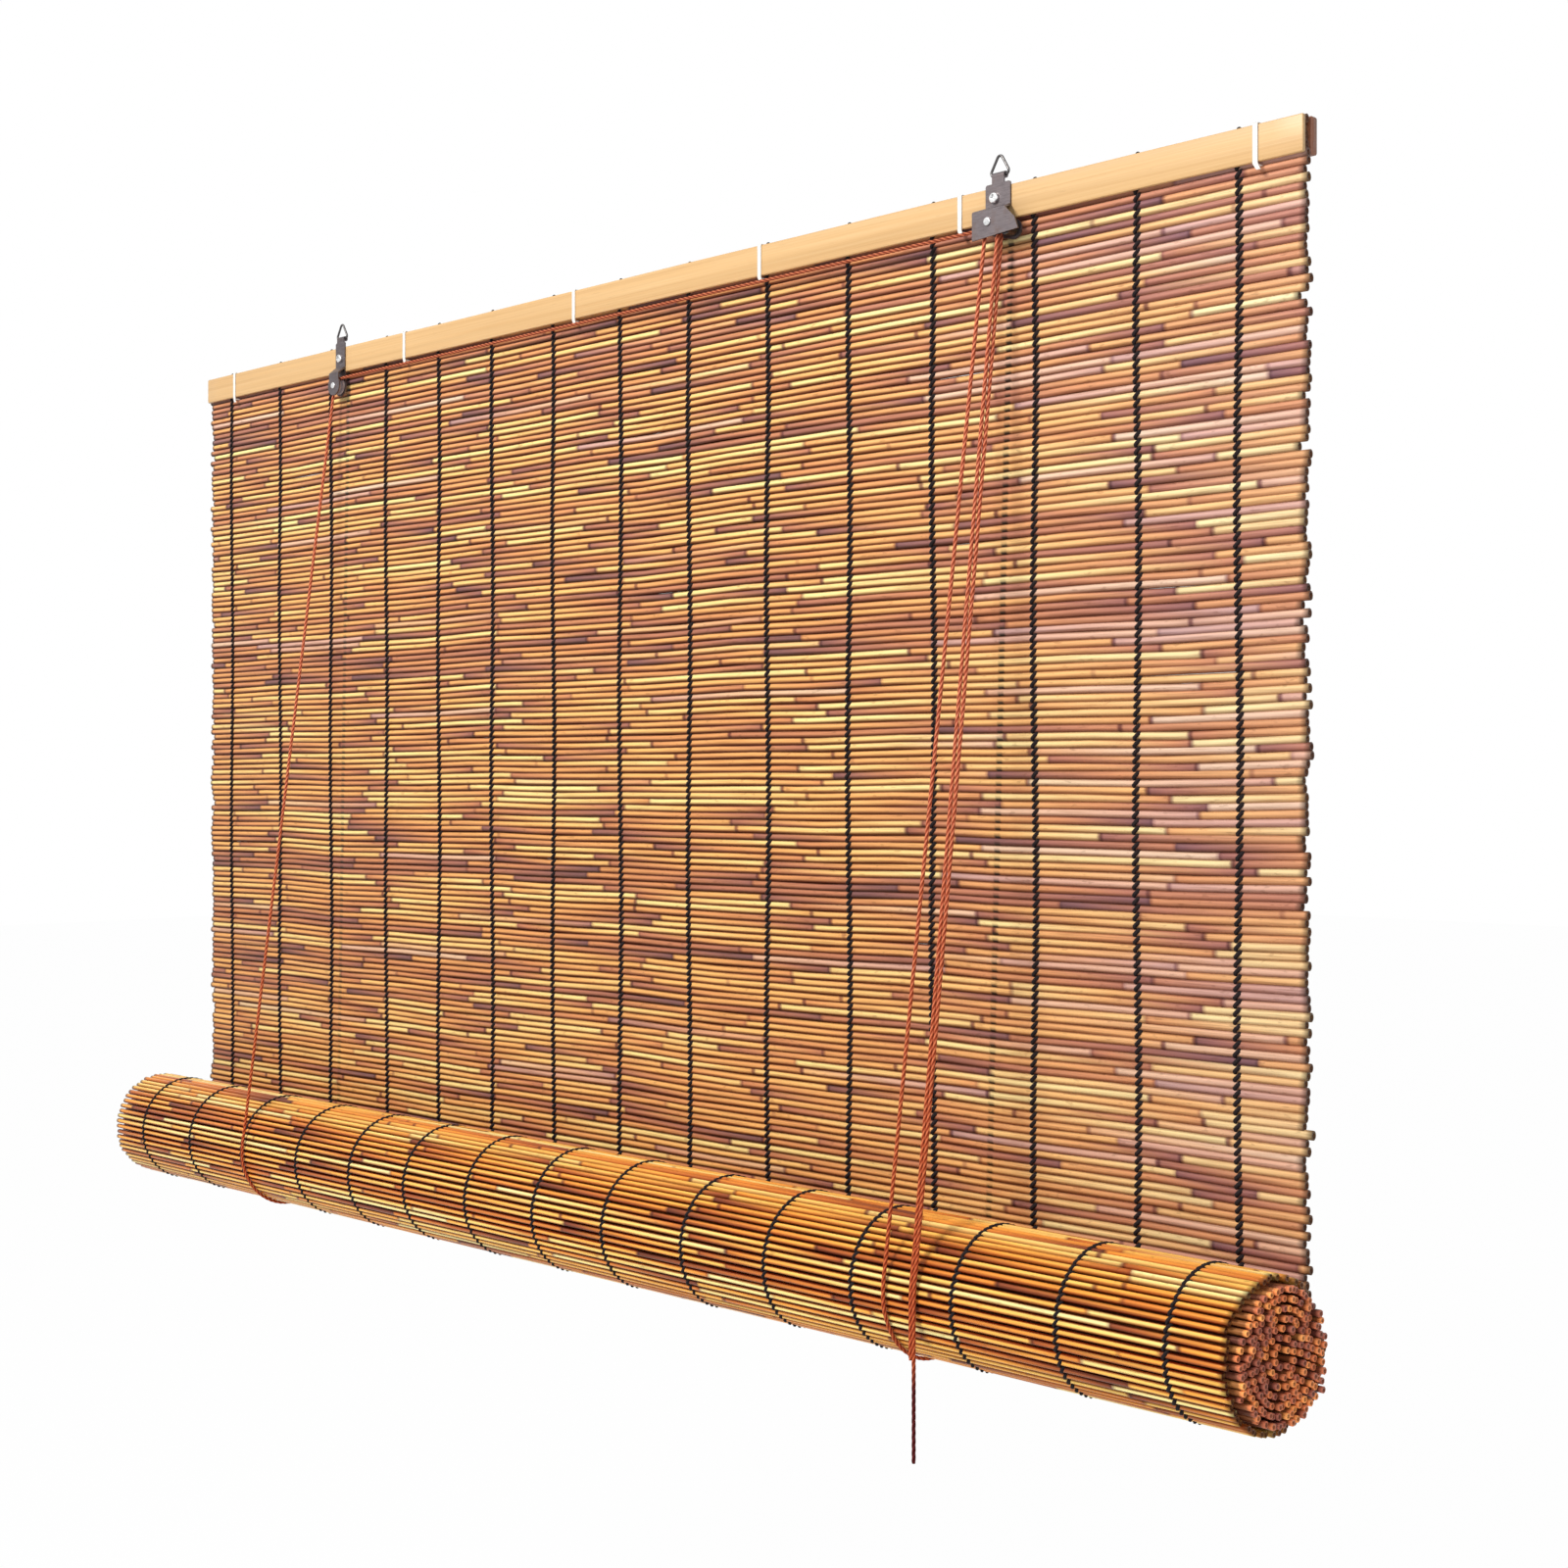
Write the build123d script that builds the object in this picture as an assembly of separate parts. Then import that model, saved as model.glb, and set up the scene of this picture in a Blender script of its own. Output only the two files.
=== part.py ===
from build123d import *
import math
import os

# A reed roll-up blind, in millimetres: +X to the right, +Y towards the wall, +Z up.
# The origin is the middle of the rear batten's back face, which lies on the wall.

# Reed mat
blind_width = 1200.0
reed_diameter = 4.2
reed_gap = 0.62
reed_web = 1.2
reed_crest_share = 0.26
hanging_reed_count = 145
closed_gap_interval = 7
slit_share = 0.7

# Warp threads
thread_count = 15
thread_margin = 40.0
thread_width = 2.0
thread_thickness = 0.9
thread_tail = 1.5

# Battens and ties
batten_height = 22.0
front_batten_thickness = 3.0
rear_batten_thickness = 6.0
tie_width = 3.0
tie_thickness = 0.9
tie_clearance = 0.2
tie_thread_shares = (-6.9, -3.5, -0.672, 1.925, 4.276, 7.105)

# Roll
roll_overhang = 14.0
roll_radius = 48.2
turn_gap = 1.2
roll_core_radius = 7.0
roll_thread_turn_share = 0.92

# Cords
cord_diameter = 2.4
cord_clearance = 0.4
cord_parting = 0.3
cord_stub = 6.0
anchor_inset = 3.0
anchor_hole_diameter = 3.0
anchor_knot_radius = 2.7
anchor_knot_rise = 1.8
sling_lean = 8.0
lock_entry_reach = 13.0
lock_entry_depth = 16.0
lock_entry_bend = 4.0
strand_gap = 0.4
pull_end_depth = 100.0
short_strand_depth = 46.0

# Sheet metal of both hangers
hanger_spread = 750.0
sheet_thickness = 1.2
neck_width = 10.0
corner_radius = 1.5
barrel_height = 18.2
pulley_width = 5.2
pulley_side_clearance = 0.3
groove_depth = 1.2
groove_mouth_width = 3.2
groove_floor_width = 2.6
axle_diameter = 3.0
running_clearance = 0.08
rivet_head_diameter = 5.4
rivet_head_height = 1.2

# Left hanger
plate_width = 14.0
plate_shoulder_height = 15.0
left_joggle_top_depth = 7.0
left_joggle_drop = 6.0
left_pulley_depth = 23.4
left_pulley_groove_radius = 6.2
left_cheek_radius = 8.6
left_cheek_top_depth = 9.4
left_screw_height = 1.0

# Cord lock
lock_plate_width = 20.5
lock_shoulder_height = 13.0
lock_joggle_top_depth = 2.5
lock_joggle_drop = 4.0
lock_left_reach = 13.0
lock_right_reach = 25.0
lock_right_waist_reach = 22.0
lock_right_waist_depth = 14.0
lock_plate_depth = 24.2
lock_plate_rise = 2.5
lock_pulley_depth = 13.6
lock_pulley_groove_radius = 5.4
lock_cheek_radius = 8.0
groove_spacing = 3.4
cam_reach = 13.3
cam_depth = 19.0
cam_hub_radius = 4.6
cam_nose_radius = 1.2
cam_cheek_radius = 6.2
cam_nose_dip = 10.0
cam_side_clearance = 0.5
lock_screw_height = 3.6
lock_screw_offset = 2.5

# Screws
screw_shank_diameter = 3.5
screw_head_diameter = 7.0
screw_head_height = 2.5
screw_hole_clearance = 0.25
screw_tip_margin = 1.0
screw_slot_width = 1.1
screw_slot_share = 0.62
screw_slot_depth = 1.3

# Hanging rings
ring_wire_diameter = 1.8
ring_width = 18.0
ring_height = 15.0
ring_bend_radius = 2.4
ring_clearance = 0.15

# One overrun serves every cut
overrun = 5.0

# Planes of the layers, from the wall to the room
rear_face_y = -rear_batten_thickness
mat_back_y = rear_face_y - thread_thickness
mat_y = mat_back_y - reed_diameter / 2
mat_front_y = mat_y - reed_diameter / 2
batten_back_y = mat_front_y - thread_thickness
batten_face_y = batten_back_y - front_batten_thickness
plate_face_y = batten_face_y - sheet_thickness
cord_plane_y = plate_face_y - pulley_side_clearance - pulley_width / 2
second_cord_y = cord_plane_y - groove_spacing
lock_pulley_y = (cord_plane_y + second_cord_y) / 2
lock_pulley_width = pulley_width + groove_spacing
left_front_cheek_y = plate_face_y - pulley_width - 2 * pulley_side_clearance
lock_front_cheek_y = plate_face_y - lock_pulley_width - 2 * pulley_side_clearance

# Levels and places
top_z = batten_height / 2
reed_pitch = reed_diameter + reed_gap
first_reed_z = top_z - reed_diameter / 2
last_reed_z = first_reed_z - (hanging_reed_count - 1) * reed_pitch
mat_foot_z = last_reed_z - reed_diameter / 2
roll_z = first_reed_z - hanging_reed_count * reed_pitch
turn_pitch = reed_diameter + turn_gap
roll_centre_radius = roll_radius - reed_diameter / 2
roll_y = mat_y - roll_centre_radius
roll_width = blind_width + 2 * roll_overhang
left_x = -hanger_spread / 2
lock_x = hanger_spread / 2
lock_screw_x = lock_x - lock_screw_offset
thread_spacing = (blind_width - 2 * thread_margin) / (thread_count - 1)
tie_places = [share * thread_spacing for share in tie_thread_shares]
thread_places = [(i - (thread_count - 1) / 2) * thread_spacing for i in range(thread_count)]
tie_gap_index = math.ceil((batten_height - reed_diameter / 2 + tie_thickness / 2) / reed_pitch - 0.5)
tie_gap_z = first_reed_z - (tie_gap_index + 0.5) * reed_pitch
cord_radius = cord_diameter / 2
anchor_y = -anchor_inset
sling_radius = roll_radius + cord_clearance + cord_radius
left_pulley_z = -left_pulley_depth
lock_pulley_z = -lock_pulley_depth
cam_x = lock_x + cam_reach
cam_z = -cam_depth
left_run_x = left_x - left_pulley_groove_radius
right_run_x = lock_x - lock_pulley_groove_radius
strand_x = lock_x + lock_pulley_groove_radius
left_sling_x = left_run_x - sling_lean
right_sling_x = right_run_x - sling_lean
barrel_radius = ring_wire_diameter / 2 + ring_clearance + sheet_thickness
barrel_y = plate_face_y + barrel_radius
barrel_bore_radius = ring_wire_diameter / 2 + ring_clearance
screw_tip_y = -screw_tip_margin
screw_places = ((left_x, left_screw_height), (lock_screw_x, lock_screw_height))


# Small helpers
def rod(x, z, y_start, y_end, diameter):
    """A cylinder along Y."""
    middle = Pos(x, (y_start + y_end) / 2, z)
    return middle * Rot(X=90) * Cylinder(diameter / 2, abs(y_end - y_start))


def block(x_range, y_range, z_range):
    """A box given by its limits."""
    ranges = (x_range, y_range, z_range)
    middle = [(low + high) / 2 for low, high in ranges]
    return Pos(*middle) * Box(*[abs(high - low) for low, high in ranges])


def tube(path):
    """A cord's solid along a path."""
    return sweep(Plane(origin=path @ 0, z_dir=path % 0) * Circle(cord_radius), path=path)


def straight_cord(start, end, parting=0):
    """A taut run between two points, left short by the parting at both ends."""
    start, end = Vector(start), Vector(end)
    step = (end - start).normalized() * parting
    return tube(Line(start + step, end - step))


def on_roll(x, angle, radius):
    """A point round the roll's axis; the angle is zero at the back and a quarter turn at the bottom."""
    return Vector(x, roll_y + radius * math.cos(angle), roll_z - radius * math.sin(angle))


def roll_tangent(point, in_front):
    """The angle at which a straight run from a point above touches the sling's circle."""
    across = point.Y - roll_y
    above = point.Z - roll_z
    opening = math.acos(sling_radius / math.hypot(across, above))
    direction = math.atan2(-above, across)
    if in_front:
        return direction - opening + 2 * math.pi
    return direction + opening


def roll_arc(x, start_angle, end_angle):
    """An arc of the sling's circle."""
    angles = (start_angle, (start_angle + end_angle) / 2, end_angle)
    return ThreePointArc(*[on_roll(x, angle, sling_radius) for angle in angles])


# Reeds
def reed_side(station, side):
    """The four corners of one reed's flank; the side is +1 outside and -1 inside."""
    (y, z), (along_y, along_z) = station
    out_y, out_z = -along_z * side, along_y * side
    half = reed_diameter / 2
    crest = reed_crest_share * reed_diameter
    corners = ((-half, reed_web / 2), (-crest, half), (crest, half), (half, reed_web / 2))
    return [(y + along_y * a + out_y * o, z + along_z * a + out_z * o) for a, o in corners]


def reed_band(stations, width):
    """One woven wall: reeds at the stations, joined by thin webs, extruded along X."""
    outside = [corner for station in stations for corner in reed_side(station, 1)]
    inside = [corner for station in stations for corner in reed_side(station, -1)]
    outline = Polyline(*outside, *reversed(inside), close=True)
    return extrude(Plane.YZ * make_face(outline), amount=width / 2, both=True)


def mat_stations():
    """Reed places of the hanging mat, from the top down."""
    return [((mat_y, first_reed_z - i * reed_pitch), (0, -1)) for i in range(hanging_reed_count)]


def roll_stations():
    """Reed places along the roll's spiral, from the mat inwards, with each one's angle."""
    length = math.pi * (roll_centre_radius**2 - roll_core_radius**2) / turn_pitch
    places = []
    for i in range(int(length / reed_pitch)):
        radius = math.sqrt(roll_centre_radius**2 - turn_pitch * i * reed_pitch / math.pi)
        angle = (roll_centre_radius - radius) * 2 * math.pi / turn_pitch
        place = on_roll(0, angle, radius)
        places.append((((place.Y, place.Z), (-math.sin(angle), -math.cos(angle))), angle))
    return places


def reed_mat():
    """The hanging wall of reeds, with slits between most of them and the holes that ties and screws pass."""
    through = (mat_front_y - overrun, mat_back_y + overrun)
    half_slit = (thread_count - 1) * thread_spacing / 2
    slits = []
    for i in range(tie_gap_index + 1, hanging_reed_count - 1):
        if (i - tie_gap_index) % closed_gap_interval == 0:
            continue
        z = first_reed_z - (i + 0.5) * reed_pitch
        reach = slit_share * reed_gap / 2
        slits.append(block((-half_slit, half_slit), through, (z - reach, z + reach)))
    half_width = tie_width / 2 + tie_clearance
    half_height = tie_thickness / 2 + tie_clearance
    for x in tie_places:
        level = (tie_gap_z - half_height, tie_gap_z + half_height)
        slits.append(block((x - half_width, x + half_width), through, level))
    drill = screw_shank_diameter + 2 * screw_hole_clearance
    for x, z in screw_places:
        slits.append(rod(x, z, *through, drill))
    return reed_band(mat_stations(), blind_width) - slits


def warp_threads():
    """Black threads: each a band over the mat's top edge, down its front and its back."""
    tip_z = top_z + thread_tail
    outline = Polyline(
        (batten_back_y, mat_foot_z),
        (batten_back_y, tip_z),
        (rear_face_y, tip_z),
        (rear_face_y, mat_foot_z),
        (mat_back_y, mat_foot_z),
        (mat_back_y, top_z),
        (mat_front_y, top_z),
        (mat_front_y, mat_foot_z),
        close=True,
    )
    band = extrude(Plane.YZ * make_face(outline), amount=thread_width / 2, both=True)
    return Compound([Pos(x, 0, 0) * band for x in thread_places])


def reed_roll():
    """The rolled-up mat, one spiral wall."""
    return reed_band([station for station, angle in roll_stations()], roll_width)


def roll_threads():
    """Black threads on the crests of the roll's outer turn."""
    limit = roll_thread_turn_share * 2 * math.pi
    turn = [station for station, angle in roll_stations() if angle < limit][1:]
    inner = [corner for station in turn for corner in reed_side(station, 1)[1:3]]
    outer = []
    for (y, z), (along_y, along_z) in turn[::2]:
        rise = reed_diameter / 2 + thread_thickness
        outer.append((y - along_z * rise, z + along_y * rise))
    outline = Polyline(*inner, *reversed(outer), close=True)
    band = extrude(Plane.YZ * make_face(outline), amount=thread_width / 2, both=True)
    return Compound([Pos(x, 0, 0) * band for x in thread_places])


# Battens and ties
def batten(y_front, y_back):
    """A slat across the whole width."""
    half = blind_width / 2
    return block((-half, half), (y_front, y_back), (-top_z, top_z))


def front_batten():
    """The pale slat in front, drilled for the hanger screws."""
    drill = screw_shank_diameter + 2 * screw_hole_clearance
    span = (batten_face_y - overrun, batten_back_y + overrun)
    holes = [rod(x, z, *span, drill) for x, z in screw_places]
    return batten(batten_face_y, batten_back_y) - holes


def rear_batten():
    """The slat behind, with pilot holes for the screws and upright holes for the lift cords."""
    holes = [rod(x, z, rear_face_y - overrun, screw_tip_y, screw_shank_diameter) for x, z in screw_places]
    for x in (left_sling_x, right_sling_x):
        holes.append(Pos(x, anchor_y, 0) * Cylinder(anchor_hole_diameter / 2, batten_height + 2 * overrun))
    return batten(rear_face_y, 0) - holes


def batten_ties():
    """White flat ties round the front batten and the top reeds."""
    inner = block((-overrun, overrun), (batten_face_y, mat_back_y), (tie_gap_z + tie_thickness / 2, top_z))
    half = tie_width / 2
    outer = block(
        (-half, half),
        (batten_face_y - tie_thickness, rear_face_y),
        (tie_gap_z - tie_thickness / 2, top_z + tie_thickness),
    )
    loop = outer - inner
    return Compound([Pos(x, 0, 0) * loop for x in tie_places])


# Hangers
def sheet_section(joggle_top_z, joggle_drop, cheek_y, foot_z):
    """Side view of a bent sheet: flat on the batten, stepped forward to its front cheek, curled at the top."""
    lean = math.atan2(batten_face_y - cheek_y, joggle_drop)
    rise = sheet_thickness * math.tan(lean / 2)
    cheek_face_y = cheek_y - sheet_thickness
    joggle_foot_z = joggle_top_z - joggle_drop
    strip = Polyline(
        (batten_face_y, barrel_height),
        (batten_face_y, joggle_top_z),
        (cheek_y, joggle_foot_z),
        (cheek_y, foot_z),
        (cheek_face_y, foot_z),
        (cheek_face_y, joggle_foot_z + rise),
        (plate_face_y, joggle_top_z + rise),
        (plate_face_y, barrel_height),
        close=True,
    )
    barrel = Pos(barrel_y, barrel_height) * Circle(barrel_radius)
    bore = Pos(barrel_y, barrel_height) * Circle(barrel_bore_radius)
    return make_face(strip) + barrel - bore


def bent_sheet(x, section, outline, half_span):
    """A sheet that has the section seen from the side and the outline seen from the front."""
    side = extrude(Plane.YZ * section, amount=half_span, both=True)
    depth = abs(lock_front_cheek_y) + barrel_radius + overrun
    front = extrude(Plane.XZ * outline, amount=depth, both=True)
    return Pos(x, 0, 0) * (side & front)


def neck_outline(shoulder_z):
    """The narrow tongue above a plate."""
    height = barrel_height + barrel_radius + overrun - shoulder_z
    return Pos(0, shoulder_z + height / 2) * Rectangle(neck_width, height + 2 * corner_radius)


def upright_plate(width, top, foot):
    """A rounded plate seen from the front."""
    return Pos(0, (top + foot) / 2) * RectangleRounded(width, top - foot, corner_radius)


def left_hanger_plate():
    """Narrow plate of the left hanger, with its tongue and its round front cheek."""
    foot_z = left_pulley_z - left_cheek_radius
    section = sheet_section(-left_joggle_top_depth, left_joggle_drop, left_front_cheek_y, foot_z)
    outline = neck_outline(plate_shoulder_height)
    outline += upright_plate(plate_width, plate_shoulder_height, left_pulley_z)
    outline += Pos(0, left_pulley_z) * Circle(left_cheek_radius)
    plate = bent_sheet(left_x, section, outline, left_cheek_radius)
    drill = screw_shank_diameter + 2 * screw_hole_clearance
    span = (left_front_cheek_y - overrun, batten_face_y + overrun)
    holes = [rod(left_x, left_screw_height, *span, drill), rod(left_x, left_pulley_z, *span, axle_diameter)]
    return plate - holes


def left_back_cheek():
    """Flat cheek behind the left pulley."""
    outline = Pos(0, left_pulley_z) * Circle(left_cheek_radius)
    outline += upright_plate(plate_width, -left_cheek_top_depth, left_pulley_z)
    outline -= Pos(0, left_pulley_z) * Circle(axle_diameter / 2)
    sheet = extrude(Plane.XZ * outline, amount=sheet_thickness)
    return Pos(left_x, batten_face_y, 0) * sheet


def lock_front_plate():
    """Wide plate of the cord lock, with its tongue and its flared front cheek."""
    joggle_top_z = -lock_joggle_top_depth
    joggle_foot_z = joggle_top_z - lock_joggle_drop
    section = sheet_section(joggle_top_z, lock_joggle_drop, lock_front_cheek_y, -lock_plate_depth)
    half = lock_plate_width / 2
    flare = Polyline(
        (-half, joggle_top_z),
        (-lock_left_reach, joggle_foot_z),
        (-lock_left_reach, -lock_plate_depth),
        (lock_right_reach, lock_plate_rise - lock_plate_depth),
        (lock_right_waist_reach, -lock_right_waist_depth),
        (half, joggle_top_z),
        close=True,
    )
    outline = neck_outline(lock_shoulder_height)
    outline += upright_plate(lock_plate_width, lock_shoulder_height, joggle_foot_z)
    outline += make_face(flare)
    plate = bent_sheet(lock_x, section, outline, lock_right_reach + overrun)
    drill = screw_shank_diameter + 2 * screw_hole_clearance
    span = (lock_front_cheek_y - overrun, batten_face_y + overrun)
    holes = [
        rod(lock_screw_x, lock_screw_height, *span, drill),
        rod(lock_x, lock_pulley_z, *span, axle_diameter),
        rod(cam_x, cam_z, *span, axle_diameter),
    ]
    return plate - holes


def lock_back_cheek():
    """Flat cheek behind the lock's pulley and cam."""
    lobes = Pos(0, lock_pulley_z) * Circle(lock_cheek_radius)
    lobes += Pos(cam_reach, cam_z) * Circle(cam_cheek_radius)
    outline = make_hull(lobes.edges())
    outline -= Pos(0, lock_pulley_z) * Circle(axle_diameter / 2)
    outline -= Pos(cam_reach, cam_z) * Circle(axle_diameter / 2)
    sheet = extrude(Plane.XZ * outline, amount=sheet_thickness)
    return Pos(lock_x, batten_face_y, 0) * sheet


def grooved_wheel(centre, groove_radius, width, groove_places):
    """A pulley along Y with a groove for each cord; the groove radius is that of the cord's middle."""
    floor = groove_radius - cord_radius - running_clearance
    rim = groove_radius + groove_depth
    bore = axle_diameter / 2 + running_clearance
    points = [(bore, -width / 2), (rim, -width / 2)]
    for place in groove_places:
        points.append((rim, place - groove_mouth_width / 2))
        points.append((floor, place - groove_floor_width / 2))
        points.append((floor, place + groove_floor_width / 2))
        points.append((rim, place + groove_mouth_width / 2))
    points += [(rim, width / 2), (bore, width / 2)]
    return Pos(*centre) * revolve(make_face(Polyline(*points, close=True)), axis=Axis.Y)


def left_pulley():
    """Single pulley of the left hanger."""
    return grooved_wheel((left_x, cord_plane_y, left_pulley_z), left_pulley_groove_radius, pulley_width, [0])


def lock_pulley():
    """Double pulley of the cord lock."""
    places = [-groove_spacing / 2, groove_spacing / 2]
    centre = (lock_x, lock_pulley_y, lock_pulley_z)
    return grooved_wheel(centre, lock_pulley_groove_radius, lock_pulley_width, places)


def button_head(x, z, y_seat, diameter, height):
    """A low rounded head that stands forward from its seat."""
    head = rod(x, z, y_seat - height, y_seat, diameter)
    rim = head.edges().filter_by(GeomType.CIRCLE).sort_by(Axis.Y)[0]
    return fillet(rim, height / 2)


def left_pulley_rivet():
    """Axle of the left pulley, headed in front and behind."""
    face_y = left_front_cheek_y - sheet_thickness
    rivet = rod(left_x, left_pulley_z, face_y, batten_face_y, axle_diameter)
    rivet += button_head(left_x, left_pulley_z, face_y, rivet_head_diameter, rivet_head_height)
    rivet += rod(left_x, left_pulley_z, batten_face_y, batten_face_y + rivet_head_height, rivet_head_diameter)
    return rivet


def lock_pulley_rivet():
    """Axle of the lock's pulley, headed in front and flush behind."""
    face_y = lock_front_cheek_y - sheet_thickness
    rivet = rod(lock_x, lock_pulley_z, face_y, batten_face_y, axle_diameter)
    return rivet + button_head(lock_x, lock_pulley_z, face_y, rivet_head_diameter, rivet_head_height)


def lock_cam():
    """Nosed cam that bites on the pull strands."""
    reach = cam_x - strand_x - cord_radius - cord_clearance - cam_nose_radius
    dip = math.radians(cam_nose_dip)
    lobes = Circle(cam_hub_radius)
    lobes += Pos(-reach * math.cos(dip), -reach * math.sin(dip)) * Circle(cam_nose_radius)
    outline = make_hull(lobes.edges()) - Circle(axle_diameter / 2 + running_clearance)
    width = plate_face_y - lock_front_cheek_y - 2 * cam_side_clearance
    cam = extrude(Plane.XZ * outline, amount=width)
    return Pos(cam_x, plate_face_y - cam_side_clearance, cam_z) * cam


def lock_cam_pin():
    """Pin of the cam, flush in both plates."""
    return rod(cam_x, cam_z, lock_front_cheek_y - sheet_thickness, batten_face_y, axle_diameter)


def hanger_screw(x, z):
    """Pan-head wood screw through plate, front batten and mat into the rear batten."""
    screw = rod(x, z, plate_face_y, screw_tip_y, screw_shank_diameter)
    screw += button_head(x, z, plate_face_y, screw_head_diameter, screw_head_height)
    reach = screw_slot_share * screw_head_diameter / 2
    half = screw_slot_width / 2
    depth = (plate_face_y - screw_head_height - overrun, plate_face_y - screw_head_height + screw_slot_depth)
    level_slot = block((x - reach, x + reach), depth, (z - half, z + half))
    upright_slot = block((x - half, x + half), depth, (z - reach, z + reach))
    return screw - [level_slot, upright_slot]


def hanging_ring(x):
    """Triangular wire ring whose base lies in the curled tongue."""
    half = ring_width / 2
    corners = [
        (x - half, barrel_y, barrel_height),
        (x + half, barrel_y, barrel_height),
        (x, barrel_y, barrel_height + ring_height),
    ]
    loop = FilletPolyline(*corners, radius=ring_bend_radius, close=True)
    section = Plane(origin=loop @ 0, z_dir=loop % 0) * Circle(ring_wire_diameter / 2)
    return sweep(section, path=loop)


# Cords
def wheel_point(x, y, z, angle, radius):
    """A point round a pulley's axle; the angle is zero to the right and a quarter turn at the top."""
    return Vector(x + radius * math.cos(angle), y, z + radius * math.sin(angle))


def wheel_arc(x, y, z, start_angle, end_angle, radius):
    """An arc round a pulley's axle."""
    angles = (start_angle, (start_angle + end_angle) / 2, end_angle)
    return ThreePointArc(*[wheel_point(x, y, z, angle, radius) for angle in angles])


def upper_tangent(point, x, z, radius, turn):
    """The angle at which a run from a point touches a pulley's upper side; the turn is +1 from the right."""
    across, above = point.X - x, point.Z - z
    opening = math.acos(radius / math.hypot(across, above))
    return math.atan2(above, across) + turn * opening


def crossing_cord():
    """The left lift cord from its pulley across to the lock and over the lock's pulley."""
    y = cord_plane_y
    drop = Vector(0, 0, -cord_stub)
    entry = Vector(lock_x - lock_entry_reach, y, -lock_entry_depth)
    leave = upper_tangent(entry, left_x, left_pulley_z, left_pulley_groove_radius, 1)
    arrive = upper_tangent(entry, lock_x, lock_pulley_z, lock_pulley_groove_radius, -1) % (2 * math.pi)
    first = wheel_arc(left_x, y, left_pulley_z, math.pi, leave, left_pulley_groove_radius)
    last = wheel_arc(lock_x, y, lock_pulley_z, arrive, 0, lock_pulley_groove_radius)
    across = FilletPolyline(first @ 1, entry, last @ 0, radius=lock_entry_bend)
    path = Line(first @ 0 + drop, first @ 0) + first + across + last + Line(last @ 1, last @ 1 + drop)
    return tube(Wire(path.edges()))


def right_lift_cord_wrap():
    """The right lift cord where it passes over the lock's pulley."""
    drop = Vector(0, 0, -cord_stub)
    over = wheel_arc(lock_x, second_cord_y, lock_pulley_z, math.pi, 0, lock_pulley_groove_radius)
    path = Line(over @ 0 + drop, over @ 0) + over + Line(over @ 1, over @ 1 + drop)
    return tube(Wire(path.edges()))


def lift_cord_back(x):
    """A lift cord behind the mat, from its knot down to the roll."""
    top = Vector(x, anchor_y, top_z)
    foot = on_roll(x, roll_tangent(top, False), sling_radius)
    return straight_cord(top, foot + (top - foot).normalized() * cord_parting)


def lift_cord_sling(x, run_top):
    """A lift cord under the roll, from behind the mat to the front."""
    start = roll_tangent(Vector(x, anchor_y, top_z), False)
    return tube(roll_arc(x, start, roll_tangent(run_top, True)))


def lift_cord_front(x, run_top):
    """A lift cord in front of the mat, from the roll up to its pulley."""
    foot = on_roll(x, roll_tangent(run_top, True), sling_radius)
    return straight_cord(foot, run_top, cord_parting)


def anchor_knot(x):
    """Stopper knot of a lift cord on top of the rear batten."""
    ball = Pos(x, anchor_y, top_z + anchor_knot_rise) * Sphere(anchor_knot_radius)
    reach = anchor_knot_radius + overrun
    below = block((x - reach, x + reach), (anchor_y - reach, anchor_y + reach), (top_z - reach, top_z))
    return ball - below


def strand_tops():
    """Where the two pull strands leave the lock, the long one first."""
    z = lock_pulley_z - cord_stub
    return [Vector(strand_x, cord_plane_y, z), Vector(strand_x, second_cord_y, z)]


def strand_foot_x(index):
    """The two strands lie side by side on the roll."""
    apart = cord_diameter + strand_gap
    return strand_x + (0.5 - index) * apart


def pull_cord_strands():
    """The pull strands from the lock down to the front of the roll."""
    runs = []
    for index, top in enumerate(strand_tops()):
        foot = on_roll(strand_foot_x(index), roll_tangent(top, True), sling_radius)
        runs.append(straight_cord(top, foot, cord_parting))
    return Compound(runs)


def pull_cord_tails():
    """The pull strands on the front of the roll and below it, one longer than the other."""
    tails = []
    for index, (top, depth) in enumerate(zip(strand_tops(), (pull_end_depth, short_strand_depth))):
        x = strand_foot_x(index)
        bend = roll_arc(x, roll_tangent(top, True), math.pi)
        end = bend @ 1 + Vector(0, 0, -depth)
        tails.append(tube(Wire((bend + Line(bend @ 1, end)).edges())))
    return Compound(tails)


left_run_top = Vector(left_run_x, cord_plane_y, left_pulley_z - cord_stub)
right_run_top = Vector(right_run_x, second_cord_y, lock_pulley_z - cord_stub)

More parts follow.
